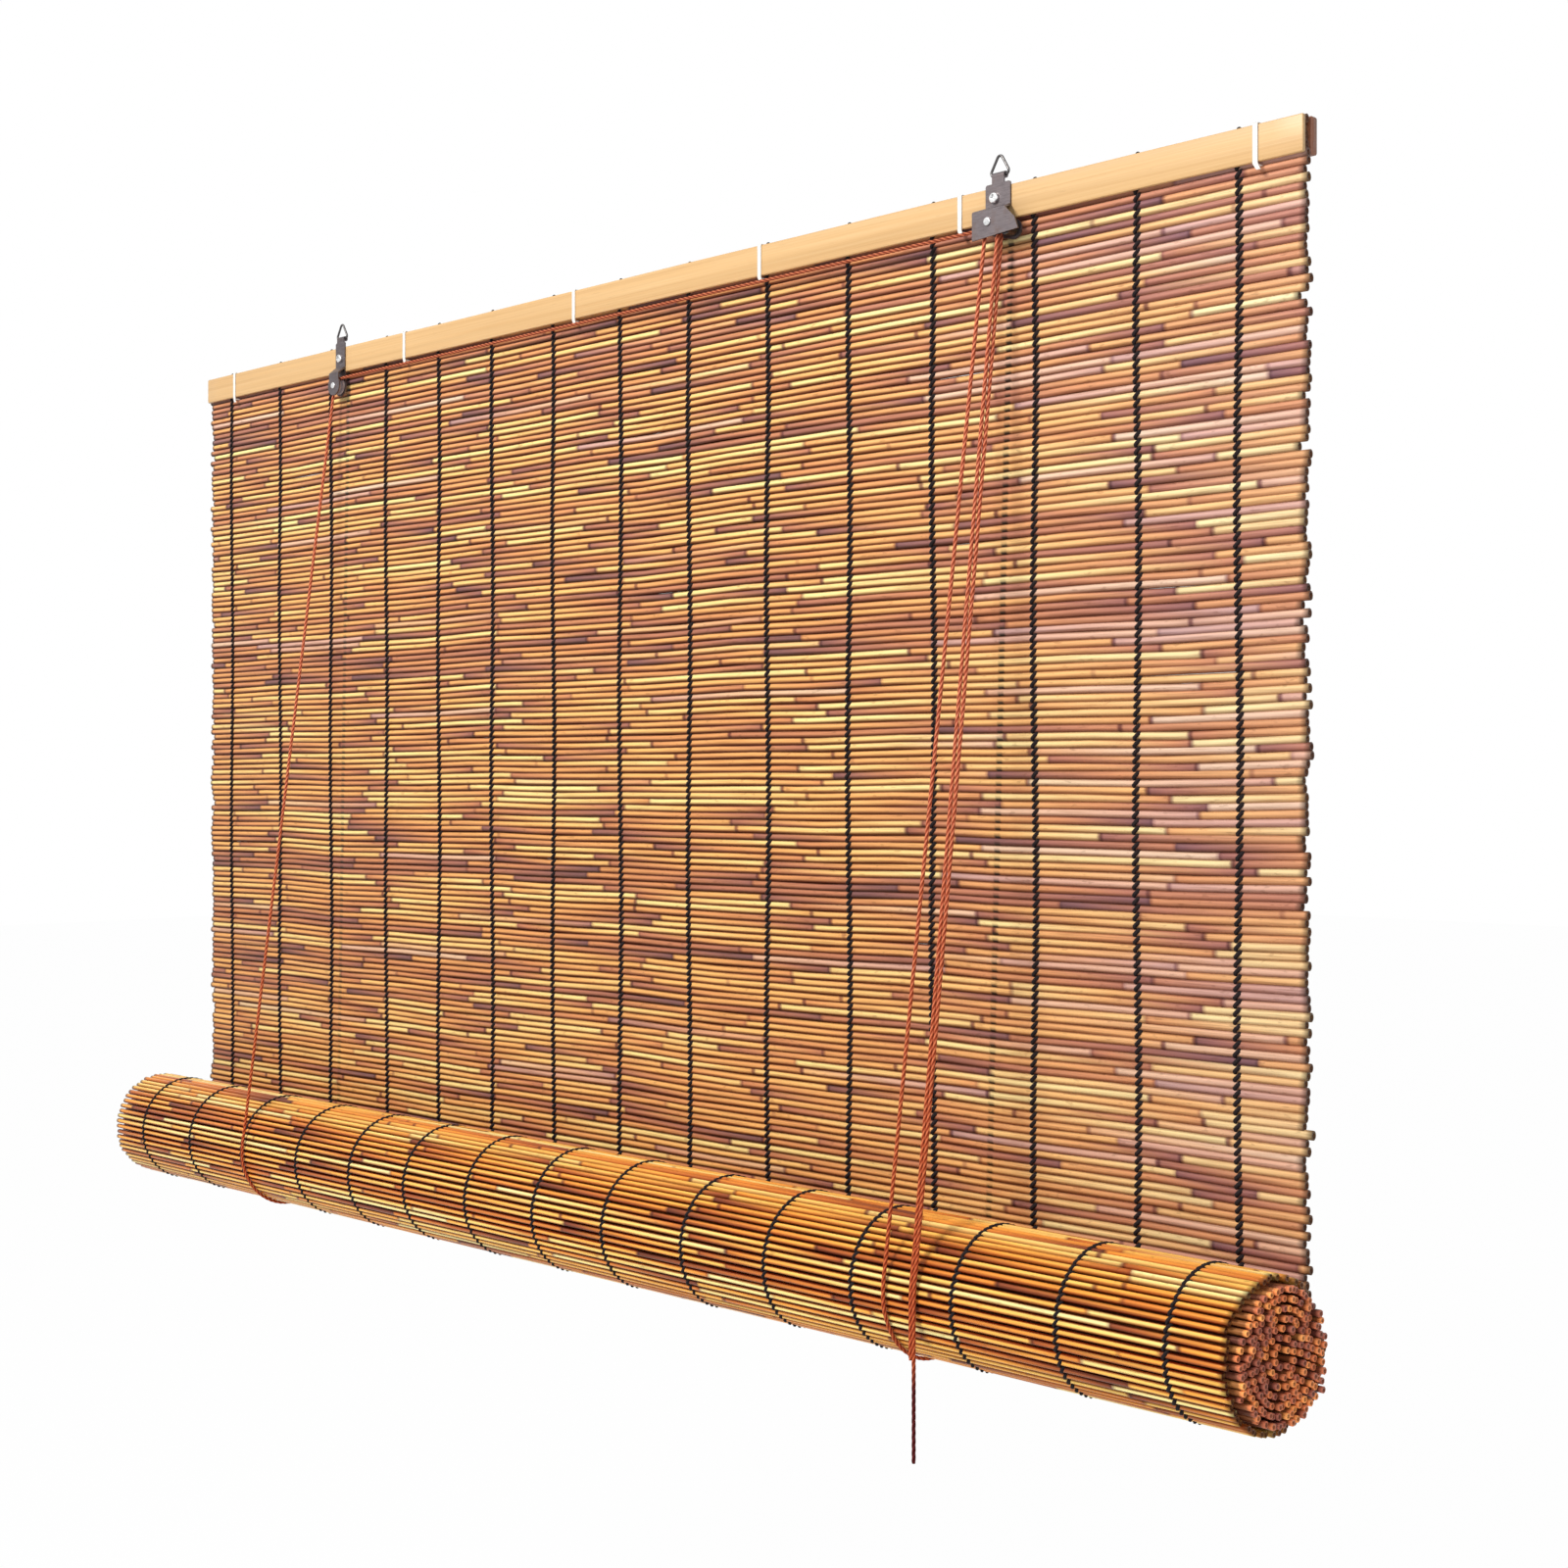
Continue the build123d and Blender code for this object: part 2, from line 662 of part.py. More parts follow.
nodes = {
    "front_batten": front_batten(),
    "rear_batten": rear_batten(),
    "batten_ties": batten_ties(),
    "reed_mat": reed_mat(),
    "warp_threads": warp_threads(),
    "reed_roll": reed_roll(),
    "roll_threads": roll_threads(),
    "left_hanger_plate": left_hanger_plate(),
    "left_back_cheek": left_back_cheek(),
    "left_pulley": left_pulley(),
    "left_pulley_rivet": left_pulley_rivet(),
    "left_screw": hanger_screw(left_x, left_screw_height),
    "left_ring": hanging_ring(left_x),
    "lock_front_plate": lock_front_plate(),
    "lock_back_cheek": lock_back_cheek(),
    "lock_pulley": lock_pulley(),
    "lock_pulley_rivet": lock_pulley_rivet(),
    "lock_cam": lock_cam(),
    "lock_cam_pin": lock_cam_pin(),
    "lock_screw": hanger_screw(lock_screw_x, lock_screw_height),
    "lock_ring": hanging_ring(lock_x),
    "crossing_cord": crossing_cord(),
    "left_lift_cord_front": lift_cord_front(left_sling_x, left_run_top),
    "left_lift_cord_sling": lift_cord_sling(left_sling_x, left_run_top),
    "left_lift_cord_back": lift_cord_back(left_sling_x),
    "left_anchor_knot": anchor_knot(left_sling_x),
    "right_lift_cord_wrap": right_lift_cord_wrap(),
    "right_lift_cord_front": lift_cord_front(right_sling_x, right_run_top),
    "right_lift_cord_sling": lift_cord_sling(right_sling_x, right_run_top),
    "right_lift_cord_back": lift_cord_back(right_sling_x),
    "right_anchor_knot": anchor_knot(right_sling_x),
    "pull_cord_strands": pull_cord_strands(),
    "pull_cord_tails": pull_cord_tails(),
}

os.makedirs("parts", exist_ok=True)
for name, shape in nodes.items():
    export_step(shape, os.path.join("parts", name + ".step"))
print("sub-parts written:", len(nodes))
print("cord radii: pulley", left_pulley_groove_radius, lock_pulley_groove_radius, "entry", lock_entry_bend)
print("roll axis y, z:", roll_y, roll_z, "reed centre radius:", roll_centre_radius)
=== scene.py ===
import math
import bpy
import numpy as np
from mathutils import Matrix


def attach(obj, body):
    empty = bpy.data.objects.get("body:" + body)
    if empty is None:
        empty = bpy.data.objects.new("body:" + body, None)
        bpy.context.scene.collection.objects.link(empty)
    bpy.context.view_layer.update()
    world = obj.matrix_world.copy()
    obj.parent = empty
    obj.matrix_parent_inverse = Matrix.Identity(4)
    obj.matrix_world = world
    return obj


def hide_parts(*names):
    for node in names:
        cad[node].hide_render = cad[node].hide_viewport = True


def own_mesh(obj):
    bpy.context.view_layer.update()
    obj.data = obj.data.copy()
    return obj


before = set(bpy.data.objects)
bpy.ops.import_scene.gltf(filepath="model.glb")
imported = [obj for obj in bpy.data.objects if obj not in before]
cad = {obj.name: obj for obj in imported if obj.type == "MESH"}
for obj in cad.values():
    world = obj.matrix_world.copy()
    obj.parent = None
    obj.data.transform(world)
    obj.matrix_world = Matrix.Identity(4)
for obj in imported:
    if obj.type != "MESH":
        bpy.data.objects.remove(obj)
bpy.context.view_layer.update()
print("frame loaded with", len(cad), "solids")

# where things are, in metres: X right, Y towards the wall, Z up
blind = {
    "width": 1.2,
    "matY": -0.009,
    "topZ": 0.011,
    "firstReedZ": 0.0089,
    "reedPitch": 0.00482,
    "hangingReeds": 145,
    "stillReeds": 24,          # these never wind up, so they don't squash
    "rollY": -0.0551,
    "rollZ": -0.69,
    "rollCentreRadius": 0.0461,
    "turnPitch": 0.0054,
    "rollReeds": 256,
    "liftTravel": 0.5793,
    "threads": 15,
    "threadPitch": 0.08,
}
millimetre = 0.001
fullTurn = 2 * math.pi
waveStart = (0, 6.28)          # where a random wave may start, in radians
threadX = (np.arange(blind["threads"]) - (blind["threads"] - 1) / 2) * blind["threadPitch"]


def shareOf(value, low, high):
    # how far the value is on the way from low to high, from 0 to 1
    return np.clip((value - low) / (high - low), 0, 1)


def sideAngles(sides):
    # equal steps round one turn
    return np.arange(sides) * fullTurn / sides


def unit(vectors):
    # each vector over its own length
    return vectors / np.linalg.norm(vectors, axis=-1, keepdims=True)


# meshes
def gridQuads(ring, after, sides):
    # quads from each ring to the ring after it; both are given by the number of their first point
    side = np.arange(sides)[None, :]
    beside = (side + 1) % sides
    return np.stack([ring + side, ring + beside, after + beside, after + side], -1).reshape(-1, 4)


def forEach(faces, tubes, points):
    # the same faces on every tube, moved on by one tube's points
    shift = (np.arange(tubes) * points)[:, None, None]
    return (faces[None] + shift).reshape(-1, faces.shape[1])


def tubeFaces(tubes, rings, sides):
    # quads join each ring to the next, and fans close both ends of every tube
    ring = np.arange(rings - 1)[:, None] * sides
    fan = np.arange(1, sides - 1)
    near = np.stack([fan * 0, fan + 1, fan], -1)
    far = np.stack([fan * 0, fan, fan + 1], -1) + (rings - 1) * sides
    quads = gridQuads(ring, ring + sides, sides)
    caps = np.concatenate([near, far])
    return forEach(quads, tubes, rings * sides), forEach(caps, tubes, rings * sides)


def loopQuads(loops, rings, sides):
    # as tubeFaces, but the last ring joins the first, so there are no ends
    ring = np.arange(rings)[:, None] * sides
    return forEach(gridQuads(ring, np.roll(ring, -1, 0), sides), loops, rings * sides)


def flat(numbers, kind):
    return np.ascontiguousarray(numbers, dtype=kind).ravel()


def addPiece(name, points, faces, body, material, stands=(), tints=None, plies=None):
    # one object from whole arrays; tints and plies are kept at the points, where the materials read them
    quads, tris = faces
    corners = np.concatenate([quads.ravel(), tris.ravel()])
    starts = np.concatenate([np.arange(len(quads)) * 4, quads.size + np.arange(len(tris)) * 3])
    mesh = bpy.data.meshes.new(name)
    mesh.vertices.add(points.size // 3)
    mesh.vertices.foreach_set("co", flat(points, np.float32))
    mesh.loops.add(len(corners))
    mesh.loops.foreach_set("vertex_index", flat(corners, np.int32))
    mesh.polygons.add(len(starts))
    mesh.polygons.foreach_set("loop_start", flat(starts, np.int32))
    mesh.update(calc_edges=True)
    mesh.validate()
    mesh.polygons.foreach_set("use_smooth", np.ones(len(mesh.polygons), bool))
    layers = (("tint", "FLOAT_COLOR", "color", tints), ("ply", "FLOAT", "value", plies))
    for key, kind, field, numbers in layers:
        if numbers is not None:
            layer = mesh.attributes.new(key, kind, "POINT")
            layer.data.foreach_set(field, flat(numbers, np.float32))
    mesh.materials.append(material)
    piece = bpy.data.objects.new(name, mesh)
    bpy.context.scene.collection.objects.link(piece)
    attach(piece, body)
    if stands:
        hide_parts(*stands)
    return piece


# materials: a noise is given by its stretch, detail and roughness, and a ramp by places and colours
def linear(rgb):
    # screen colour to the linear colour that shaders use
    rgb = np.asarray(rgb, float)
    return np.where(rgb <= 0.04045, rgb / 12.92, ((rgb + 0.055) / 1.055) ** 2.4)


def rgba(rgb):
    return (*[float(part) for part in linear(rgb)], 1.0)


def setSockets(node, values):
    for key, value in values.items():
        node.inputs[key].default_value = value


def addNode(tree, kind, sockets=None, **settings):
    node = tree.nodes.new(kind)
    for key, value in settings.items():
        setattr(node, key, value)
    setSockets(node, sockets or {})
    return node


def newMaterial(name, roughness, metallic=0.0):
    material = bpy.data.materials.new(name)
    material.use_nodes = True
    tree = material.node_tree
    shader = tree.nodes["Principled BSDF"]
    setSockets(shader, {"Roughness": roughness, "Metallic": metallic})
    return material, tree, shader


def stretchedNoise(tree, stretch, detail, roughness):
    # noise on the object's own coordinates, stretched by three factors
    place = addNode(tree, "ShaderNodeTexCoord")
    mapping = addNode(tree, "ShaderNodeMapping", {"Scale": stretch})
    noise = addNode(tree, "ShaderNodeTexNoise", {"Scale": 1.0, "Detail": detail, "Roughness": roughness})
    tree.links.new(place.outputs["Object"], mapping.inputs["Vector"])
    tree.links.new(mapping.outputs["Vector"], noise.inputs["Vector"])
    return noise.outputs["Fac"]


def ramp(tree, source, stops):
    node = addNode(tree, "ShaderNodeValToRGB")
    elements = node.color_ramp.elements
    while len(elements) < len(stops):
        elements.new(0.5)
    for element, (place, colour) in zip(elements, stops):
        element.position = place
        element.color = (*colour, 1)
    tree.links.new(source, node.inputs["Fac"])
    return node.outputs["Color"]


def toneRamp(tree, source, stops):
    # a ramp of screen colours
    return ramp(tree, source, [(place, linear(tone)) for place, tone in stops])


def greyRamp(tree, source, stops):
    # a ramp of plain numbers
    return ramp(tree, source, [(place, (value,) * 3) for place, value in stops])


def mixColour(tree, blend, factor, first, second):
    node = addNode(tree, "ShaderNodeMix", data_type="RGBA", blend_type=blend)
    colours = [socket for socket in node.inputs if socket.type == "RGBA"]
    for socket, value in zip((node.inputs["Factor"], *colours), (factor, first, second)):
        if isinstance(value, bpy.types.NodeSocket):
            tree.links.new(value, socket)
        else:
            socket.default_value = value
    return next(socket for socket in node.outputs if socket.type == "RGBA")


def patches(tree, base, mask, tone, share):
    # the tone over the base where the mask is white, let through by the share
    covered = mixColour(tree, "MIX", mask, base, rgba(tone))
    return mixColour(tree, "MIX", share, base, covered)


def bump(tree, shader, height, strength, distance):
    node = addNode(tree, "ShaderNodeBump", {"Strength": strength, "Distance": distance})
    tree.links.new(height, node.inputs["Height"])
    tree.links.new(node.outputs["Normal"], shader.inputs["Normal"])


reedFinish = {
    "roughness": 0.36,
    "fibre": ((22.0, 900.0, 900.0), 4.0, 0.6),
    "streaks": ((0.3, (0.62, 0.56, 0.5)), (0.5, (1, 1, 1)), (0.72, (1.18, 1.13, 1.02))),
    "streakShare": 0.75,
    "flecks": ((120.0, 420.0, 420.0), 2.0, 0.5),
    "fleckEdge": ((0.64, 0), (0.72, 1)),
    "fleckTone": (0.36, 0.2, 0.12),
    "fleckShare": 0.28,
    "bump": (0.25, 0.0003),
    "gloss": {"hangingReed": ((0.3, 0.5), (0.7, 0.32)), "rolledReed": ((0.3, 0.4), (0.7, 0.22))},
    "specular": {"hangingReed": 0.3, "rolledReed": 0.4},
    "specularTint": {"hangingReed": (1.0, 0.66, 0.42, 1), "rolledReed": (1.0, 0.58, 0.32, 1)},
}


def reedMaterial(name):
    # the tint kept at the points, with long fibre streaks and small brown flecks
    material, tree, shader = newMaterial(name, reedFinish["roughness"])
    tint = addNode(tree, "ShaderNodeAttribute", attribute_name="tint")
    fibre = stretchedNoise(tree, *reedFinish["fibre"])
    streaks = ramp(tree, fibre, reedFinish["streaks"])
    streaked = mixColour(tree, "MULTIPLY", reedFinish["streakShare"], tint.outputs["Color"], streaks)
    fleck = greyRamp(tree, stretchedNoise(tree, *reedFinish["flecks"]), reedFinish["fleckEdge"])
    flecked = patches(tree, streaked, fleck, reedFinish["fleckTone"], reedFinish["fleckShare"])
    tree.links.new(flecked, shader.inputs["Base Color"])
    tree.links.new(greyRamp(tree, fibre, reedFinish["gloss"][name]), shader.inputs["Roughness"])
    setSockets(shader, {
        "Specular IOR Level": reedFinish["specular"][name],
        "Specular Tint": reedFinish["specularTint"][name],
    })
    bump(tree, shader, fibre, *reedFinish["bump"])
    return material


battenFinish = {
    "roughness": 0.42,
    "grain": ((5.0, 900.0, 900.0), 5.0, 0.65),
    "grainStops": (0.2, 0.45, 0.75),
    "paleBamboo": ((0.76, 0.6, 0.395), (0.828, 0.673, 0.466), (0.852, 0.717, 0.527)),
    "stainedBamboo": ((0.46, 0.28, 0.2), (0.56, 0.35, 0.25), (0.63, 0.42, 0.31)),
    "bands": ((2.2, 60.0, 160.0), 2.0, 0.5),
    "bandStops": ((0.35, (0.9, 0.87, 0.82)), (0.65, (1.03, 1.02, 1.0))),
    "bandShare": 0.8,
    "fibreEnds": ((60.0, 1600.0, 1600.0), 1.0, 0.4),
    "fibreEndEdge": ((0.69, 0), (0.75, 1)),
    "fibreEndTone": 0.92,      # of the darkest grain
    "fibreEndShare": 0.45,
    "bump": (0.18, 0.0003),
}


def battenMaterial(name):
    # split bamboo: close straight grain along X, faint wide bands, a few short dark fibre ends
    material, tree, shader = newMaterial(name, battenFinish["roughness"])
    tones = battenFinish[name]
    grain = stretchedNoise(tree, *battenFinish["grain"])
    base = toneRamp(tree, grain, list(zip(battenFinish["grainStops"], tones)))
    bands = ramp(tree, stretchedNoise(tree, *battenFinish["bands"]), battenFinish["bandStops"])
    banded = mixColour(tree, "MULTIPLY", battenFinish["bandShare"], base, bands)
    ends = greyRamp(tree, stretchedNoise(tree, *battenFinish["fibreEnds"]), battenFinish["fibreEndEdge"])
    endTone = [part * battenFinish["fibreEndTone"] for part in tones[0]]
    dotted = patches(tree, banded, ends, endTone, battenFinish["fibreEndShare"])
    tree.links.new(dotted, shader.inputs["Base Color"])
    bump(tree, shader, grain, *battenFinish["bump"])
    return material


plateFinish = {
    "roughness": 0.42,
    "metallic": 0.85,
    "brushed": ((160.0, 160.0, 2600.0), 4.0, 0.6),
    "tones": ((0.25, (0.34, 0.31, 0.32)), (0.75, (0.47, 0.44, 0.45))),
    "bloom": ((130.0, 130.0, 130.0), 3.0, 0.6),
    "bloomEdge": ((0.5, 0), (0.72, 1)),
    "bloomTone": (0.36, 0.29, 0.26),
    "bloomShare": 0.5,
    "gloss": ((0.3, 0.34), (0.7, 0.52)),
    "bump": (0.08, 0.0002),
}


def plateMaterial(name):
    # dull plated sheet: brushed lines, and a faint brown bloom that is rougher
    material, tree, shader = newMaterial(name, plateFinish["roughness"], plateFinish["metallic"])
    brushed = stretchedNoise(tree, *plateFinish["brushed"])
    base = toneRamp(tree, brushed, plateFinish["tones"])
    bloom = stretchedNoise(tree, *plateFinish["bloom"])
    patch = greyRamp(tree, bloom, plateFinish["bloomEdge"])
    worn = patches(tree, base, patch, plateFinish["bloomTone"], plateFinish["bloomShare"])
    tree.links.new(worn, shader.inputs["Base Color"])
    tree.links.new(greyRamp(tree, bloom, plateFinish["gloss"]), shader.inputs["Roughness"])
    bump(tree, shader, brushed, *plateFinish["bump"])
    return material


plainFinishes = {
    "blackThread": {           # cotton with finer, lighter fibres
        "roughness": 0.78,
        "specular": 0.2,
        "noise": ((1800.0, 900.0, 900.0), 3.0, 0.6),
        "tones": ((0.3, (0.05, 0.035, 0.04)), (0.75, (0.16, 0.12, 0.13))),
        "bump": (0.4, 0.0002),
    },
    "whiteTape": {             # flat tape with a fine weave
        "roughness": 0.6,
        "noise": ((2600.0, 2600.0, 1300.0), 2.0, 0.5),
        "tones": ((0.3, (0.84, 0.83, 0.8)), (0.7, (0.97, 0.965, 0.95))),
        "bump": (0.3, 0.0002),
    },
    "brightHead": {            # plated heads, a little cloudy
        "roughness": 0.22,
        "metallic": 1.0,
        "noise": ((420.0, 420.0, 420.0), 3.0, 0.55),
        "tones": ((0.3, (0.7954, 0.7954, 0.7954)), (0.7, (0.97, 0.97, 0.97))),
        "gloss": ((0.3, 0.154), (0.7, 0.286)),
    },
    "ringWire": {              # greyer wire, a little cloudy
        "roughness": 0.32,
        "metallic": 1.0,
        "noise": ((420.0, 420.0, 420.0), 3.0, 0.55),
        "tones": ((0.3, (0.328, 0.3198, 0.3198)), (0.7, (0.4, 0.39, 0.39))),
        "gloss": ((0.3, 0.224), (0.7, 0.416)),
    },
    "darkMouldedPlastic": {    # the lock's pulley, dull where the cord has rubbed
        "roughness": 0.5,
        "noise": ((300.0, 300.0, 300.0), 3.0, 0.6),
        "tones": ((0.3, (0.16, 0.15, 0.15)), (0.75, (0.3, 0.28, 0.27))),
        "bump": (0.1, 0.0002),
    },
    "paleMouldedPlastic": {    # the left pulley
        "roughness": 0.5,
        "noise": ((300.0, 300.0, 300.0), 3.0, 0.6),
        "tones": ((0.3, (0.55, 0.5, 0.5)), (0.75, (0.7, 0.65, 0.65))),
        "bump": (0.1, 0.0002),
    },
}


def plainMaterial(name):
    # one noise drives the tone and, where they are given, the roughness and the bump
    finish = plainFinishes[name]
    material, tree, shader = newMaterial(name, finish["roughness"], finish.get("metallic", 0.0))
    noise = stretchedNoise(tree, *finish["noise"])
    tree.links.new(toneRamp(tree, noise, finish["tones"]), shader.inputs["Base Color"])
    if "gloss" in finish:
        tree.links.new(greyRamp(tree, noise, finish["gloss"]), shader.inputs["Roughness"])
    if "specular" in finish:
        setSockets(shader, {"Specular IOR Level": finish["specular"]})
    if "bump" in finish:
        bump(tree, shader, noise, *finish["bump"])
    return material


darkerBelow = ((-0.68, (0.84, 0.6, 0.39)), (-0.6, (0.89, 0.74, 0.54)), (-0.35, (1, 1, 1)))
cordFinish = {
    "roughness": 0.72,
    "plyStops": (0.05, 0.5, 0.95),  # tones between the plies, on them and on their crests: painted shade in the grooves, a painted highlight on the crests
    "salmon": ((0.48, 0.19, 0.12), (0.75, 0.37, 0.25), (0.9, 0.56, 0.43)),
    "shaded": ((0.42, 0.18, 0.12), (0.64, 0.32, 0.22), (0.8, 0.48, 0.34)),
    "fuzz": ((900.0, 900.0, 900.0), 3.0, 0.6),
    "fuzzStops": ((0.3, (0.78, 0.74, 0.72)), (0.7, (1.1, 1.08, 1.06))),
    "fuzzShare": 0.8,
    "sheen": 0.06,
    "sheenTint": (1.0, 0.62, 0.42, 1),
    "specular": 0.1,
    "bump": (0.35, 0.0002),
    "darkerBelow": darkerBelow,        # tint by height, from below: darker towards the bottom
    "darkerBelowEnd": ((-0.745, (0.17, 0.06, 0.12)), (-0.725, (0.84, 0.6, 0.39)), *darkerBelow),
}


def heightWash(tree, colour, stops):
    # the colour times a tint that changes with the height
    low, high = stops[0][0], stops[-1][0]
    place = addNode(tree, "ShaderNodeTexCoord")
    apart = addNode(tree, "ShaderNodeSeparateXYZ")
    height = addNode(tree, "ShaderNodeMapRange", {"From Min": low, "From Max": high})
    tree.links.new(place.outputs["Object"], apart.inputs["Vector"])
    tree.links.new(apart.outputs["Z"], height.inputs["Value"])
    wash = ramp(tree, height.outputs["Result"], [((z - low) / (high - low), tint) for z, tint in stops])
    return mixColour(tree, "MULTIPLY", 1.0, colour, wash)


def cordMaterial(name, tones, heightTint=None):
    # laid cord: the ply attribute is high on the plies' crests and low between them; its ramp paints
    # shade between the plies and a highlight on their crests
    material, tree, shader = newMaterial(name, cordFinish["roughness"])
    ply = addNode(tree, "ShaderNodeAttribute", attribute_name="ply")
    base = toneRamp(tree, ply.outputs["Fac"], list(zip(cordFinish["plyStops"], cordFinish[tones])))
    fuzz = stretchedNoise(tree, *cordFinish["fuzz"])
    specks = ramp(tree, fuzz, cordFinish["fuzzStops"])
    colour = mixColour(tree, "MULTIPLY", cordFinish["fuzzShare"], base, specks)
    if heightTint:
        colour = heightWash(tree, colour, cordFinish[heightTint])
    tree.links.new(colour, shader.inputs["Base Color"])
    setSockets(shader, {
        "Sheen Weight": cordFinish["sheen"],
        "Sheen Tint": cordFinish["sheenTint"],
        "Specular IOR Level": cordFinish["specular"],
    })
    bump(tree, shader, fuzz, *cordFinish["bump"])
    return material


hangingReed = reedMaterial("hangingReed")
rolledReed = reedMaterial("rolledReed")
paleBamboo = battenMaterial("paleBamboo")
stainedBamboo = battenMaterial("stainedBamboo")
blackThread = plainMaterial("blackThread")
whiteTape = plainMaterial("whiteTape")
platedSheet = plateMaterial("dullPlatedSheet")
brightHead = plainMaterial("brightHead")
ringWire = plainMaterial("ringWire")
darkPlastic = plainMaterial("darkMouldedPlastic")
palePlastic = plainMaterial("paleMouldedPlastic")
salmonCord = cordMaterial("salmonCord", "salmon", "darkerBelow")
shadedCord = cordMaterial("shadedCord", "shaded")
tailCord = cordMaterial("tailCord", "salmon", "darkerBelowEnd")
print("materials ready")

# reeds
reedLook = {
    "sides": 12,
    "joints": 7,               # along one reed
    "firstJoint": (0.15, 0.85),  # where it is, as a share of a section
    "jointStray": 0.13,        # as a share of a section
    "turned": 0.5,             # share of the reeds that lie the other way round
    "ownSize": (0.95, 1.06),
    "taper": 0.02,             # along a section, as a share of the radius
    "swell": 0.06,             # how far a joint stands out, as a share of the radius
    "swellReach": 0.0022,
    "bore": 0.55,              # of the hollow ends, as a share of the radius
    "boreDepth": 0.006,
    "hollowRings": [0, 1, -2, -1],
    "jointRings": (-0.013, -0.003, -0.0008, 0.0008, 0.003, 0.014),
    # rings beside the painted shade of the cords behind
    "slitShadeRings": (-0.0032, -0.0016, 0.0016, 0.0032),
    "endRing": 0.0045,
    "endClear": 0.001,
    "endLimit": 0.006,         # how far a reed's end may stray
    "wander": (0.0001, 0.0002),  # own waver in Y and in Z
    "waves": (7, 16),
    "waveShare": 0.8,          # of the waves in Y, for those in Z
}
reedStainAndShade = {
    "stops": (0.0, 0.22, 0.45, 0.62, 0.8, 1.0),
    "straw": (-0.05, 0.3),     # tone just past a joint
    "brown": (0.05, 1.0),      # how far the tone goes from there
    "brownShare": 0.75,
    "brownPower": 1.9,
    "browner": [0.0, 0.0, 0.08, 0.3],  # one of these is added to a whole reed
    "joint": (0.3, 1.0),       # how dark the line at a joint is
    "jointReach": 0.0018,
    "jointTint": (0.55, 0.68, 0.6),
    # painted shade down the hollow ends
    "boreShade": (0.6, 0.47, 0.42),
    "cutDepth": 0.0012,        # the sawn edge is darker
    "cutTint": 0.62,
    "lilac": (0.86, 0.71, 0.65),
    "lilacChance": (0.06, 0.22),  # for a section, and what the painted sheen adds
    "lilacEdge": 0.05,
    "matSpan": (-0.69, -0.01),  # Z from the foot to the head of the hanging mat
    "rearCords": ((-0.386, 0.362), (-0.37, 0.382)),  # X of the lift cords behind, at the foot and at the head
    "rearCordHalf": 0.002,     # painted shade: where they block the light through the slits, darkened this far to each side
    "rearCordDark": 0.9,
    "rearCordEdge": (-0.1, 0.4),
    "upperSide": -0.2,         # heights round a reed, as sines that grow downwards, for the painted crease shade
    "upperCrease": (0.55, 0.9),
    "lowerCrease": 0.8,
    # the painted sheen weakens the painted crease shade by this share
    "creaseSheen": 0.68,
}
reedKinds = {
    "hanging": {
        "body": "headrail",
        "node": "reed_mat",
        "material": hangingReed,
        "radius": 0.00232,
        "tall": 1.21,          # pressed together, so they are this much taller than deep
        "crease": (0.67, 0.85, 0.94),  # how far the painted shade darkens where neighbours meet
        "run": -0.1,           # where the painted shade starts on the underside, which the light from above leaves darker
        "sheenX": (0.2, 0.6),   # painted sheen, growing towards the right
        "wash": (-0.08, -0.06, 0.1),  # change of tint under the painted sheen, a cool reflection
        "aged": ((-0.05, -0.07, -0.06), (0.03, 0.07, 0.15)),  # change of tint at the foot and at the head
        # painted shade where the cords behind block the light through the slits
        "slitShade": 0.9,
        "lilac": 0.65,
        "tones": (
            (1.0, 0.89, 0.57), (0.97, 0.73, 0.42), (0.86, 0.58, 0.36),
            (0.74, 0.48, 0.35), (0.63, 0.41, 0.34), (0.5, 0.34, 0.32)),
    },
    "rolled": {
        "body": "roll",
        "node": "reed_roll",
        "material": rolledReed,
        "radius": 0.002,
        "tall": 1.0,
        "crease": (0.59, 0.87, 0.97),
        "run": 0.2,
        "sheenX": None,         # painted sheen on the roll's upper and lower sides instead
        "wash": (0.06, 0.05, 0.03),
        "aged": None,
        "slitShade": 0.0,
        "lilac": 0.0,
        # brighter and yellower than the hanging tones: partly painted light, as the roll faces the lamp
        "tones": (
            (1.0, 0.95, 0.66), (1.0, 0.83, 0.43), (0.98, 0.67, 0.28),
            (0.84, 0.5, 0.22), (0.65, 0.34, 0.18), (0.48, 0.25, 0.18)),
    },
}


def reedTone(tone, kind):
    # colour along the stops, from straw through amber to red-brown
    table = np.array(kind["tones"])
    return np.stack([np.interp(tone, reedStainAndShade["stops"], table[:, i]) for i in range(3)], -1)


def creaseShade(kind, paintedSheen, slitShade):
    # painted shade: one on the crest, falling smoothly towards the lines where neighbours meet and shade each
    # other; from further off on the underside, which the light from above leaves darker; less under the
    # painted sheen, and more where the cords behind block the light through the slits
    across = np.sin(sideAngles(reedLook["sides"]))
    under = shareOf(across, kind["run"], reedStainAndShade["lowerCrease"])
    above = shareOf(-across, *reedStainAndShade["upperCrease"])
    step = np.where(across > reedStainAndShade["upperSide"], under, above)
    dark = np.array(kind["crease"]) * (step * step * (3 - 2 * step))[:, None]
    slitDark = reedStainAndShade["rearCordDark"] * shareOf(across, *reedStainAndShade["rearCordEdge"])[:, None]
    return (1 - dark * (1 - paintedSheen)[:, :, None, None]) * (1 - slitDark * slitShade[:, :, None, None])


matWaver = {
    "size": 0.0004,
    "headFade": 0.12,
    "footFade": 0.08,
    "waves": ((15, 7, 0), (23, -11, 2), (41, 5, 4)),  # per metre of X, per metre of Z, and the start
}


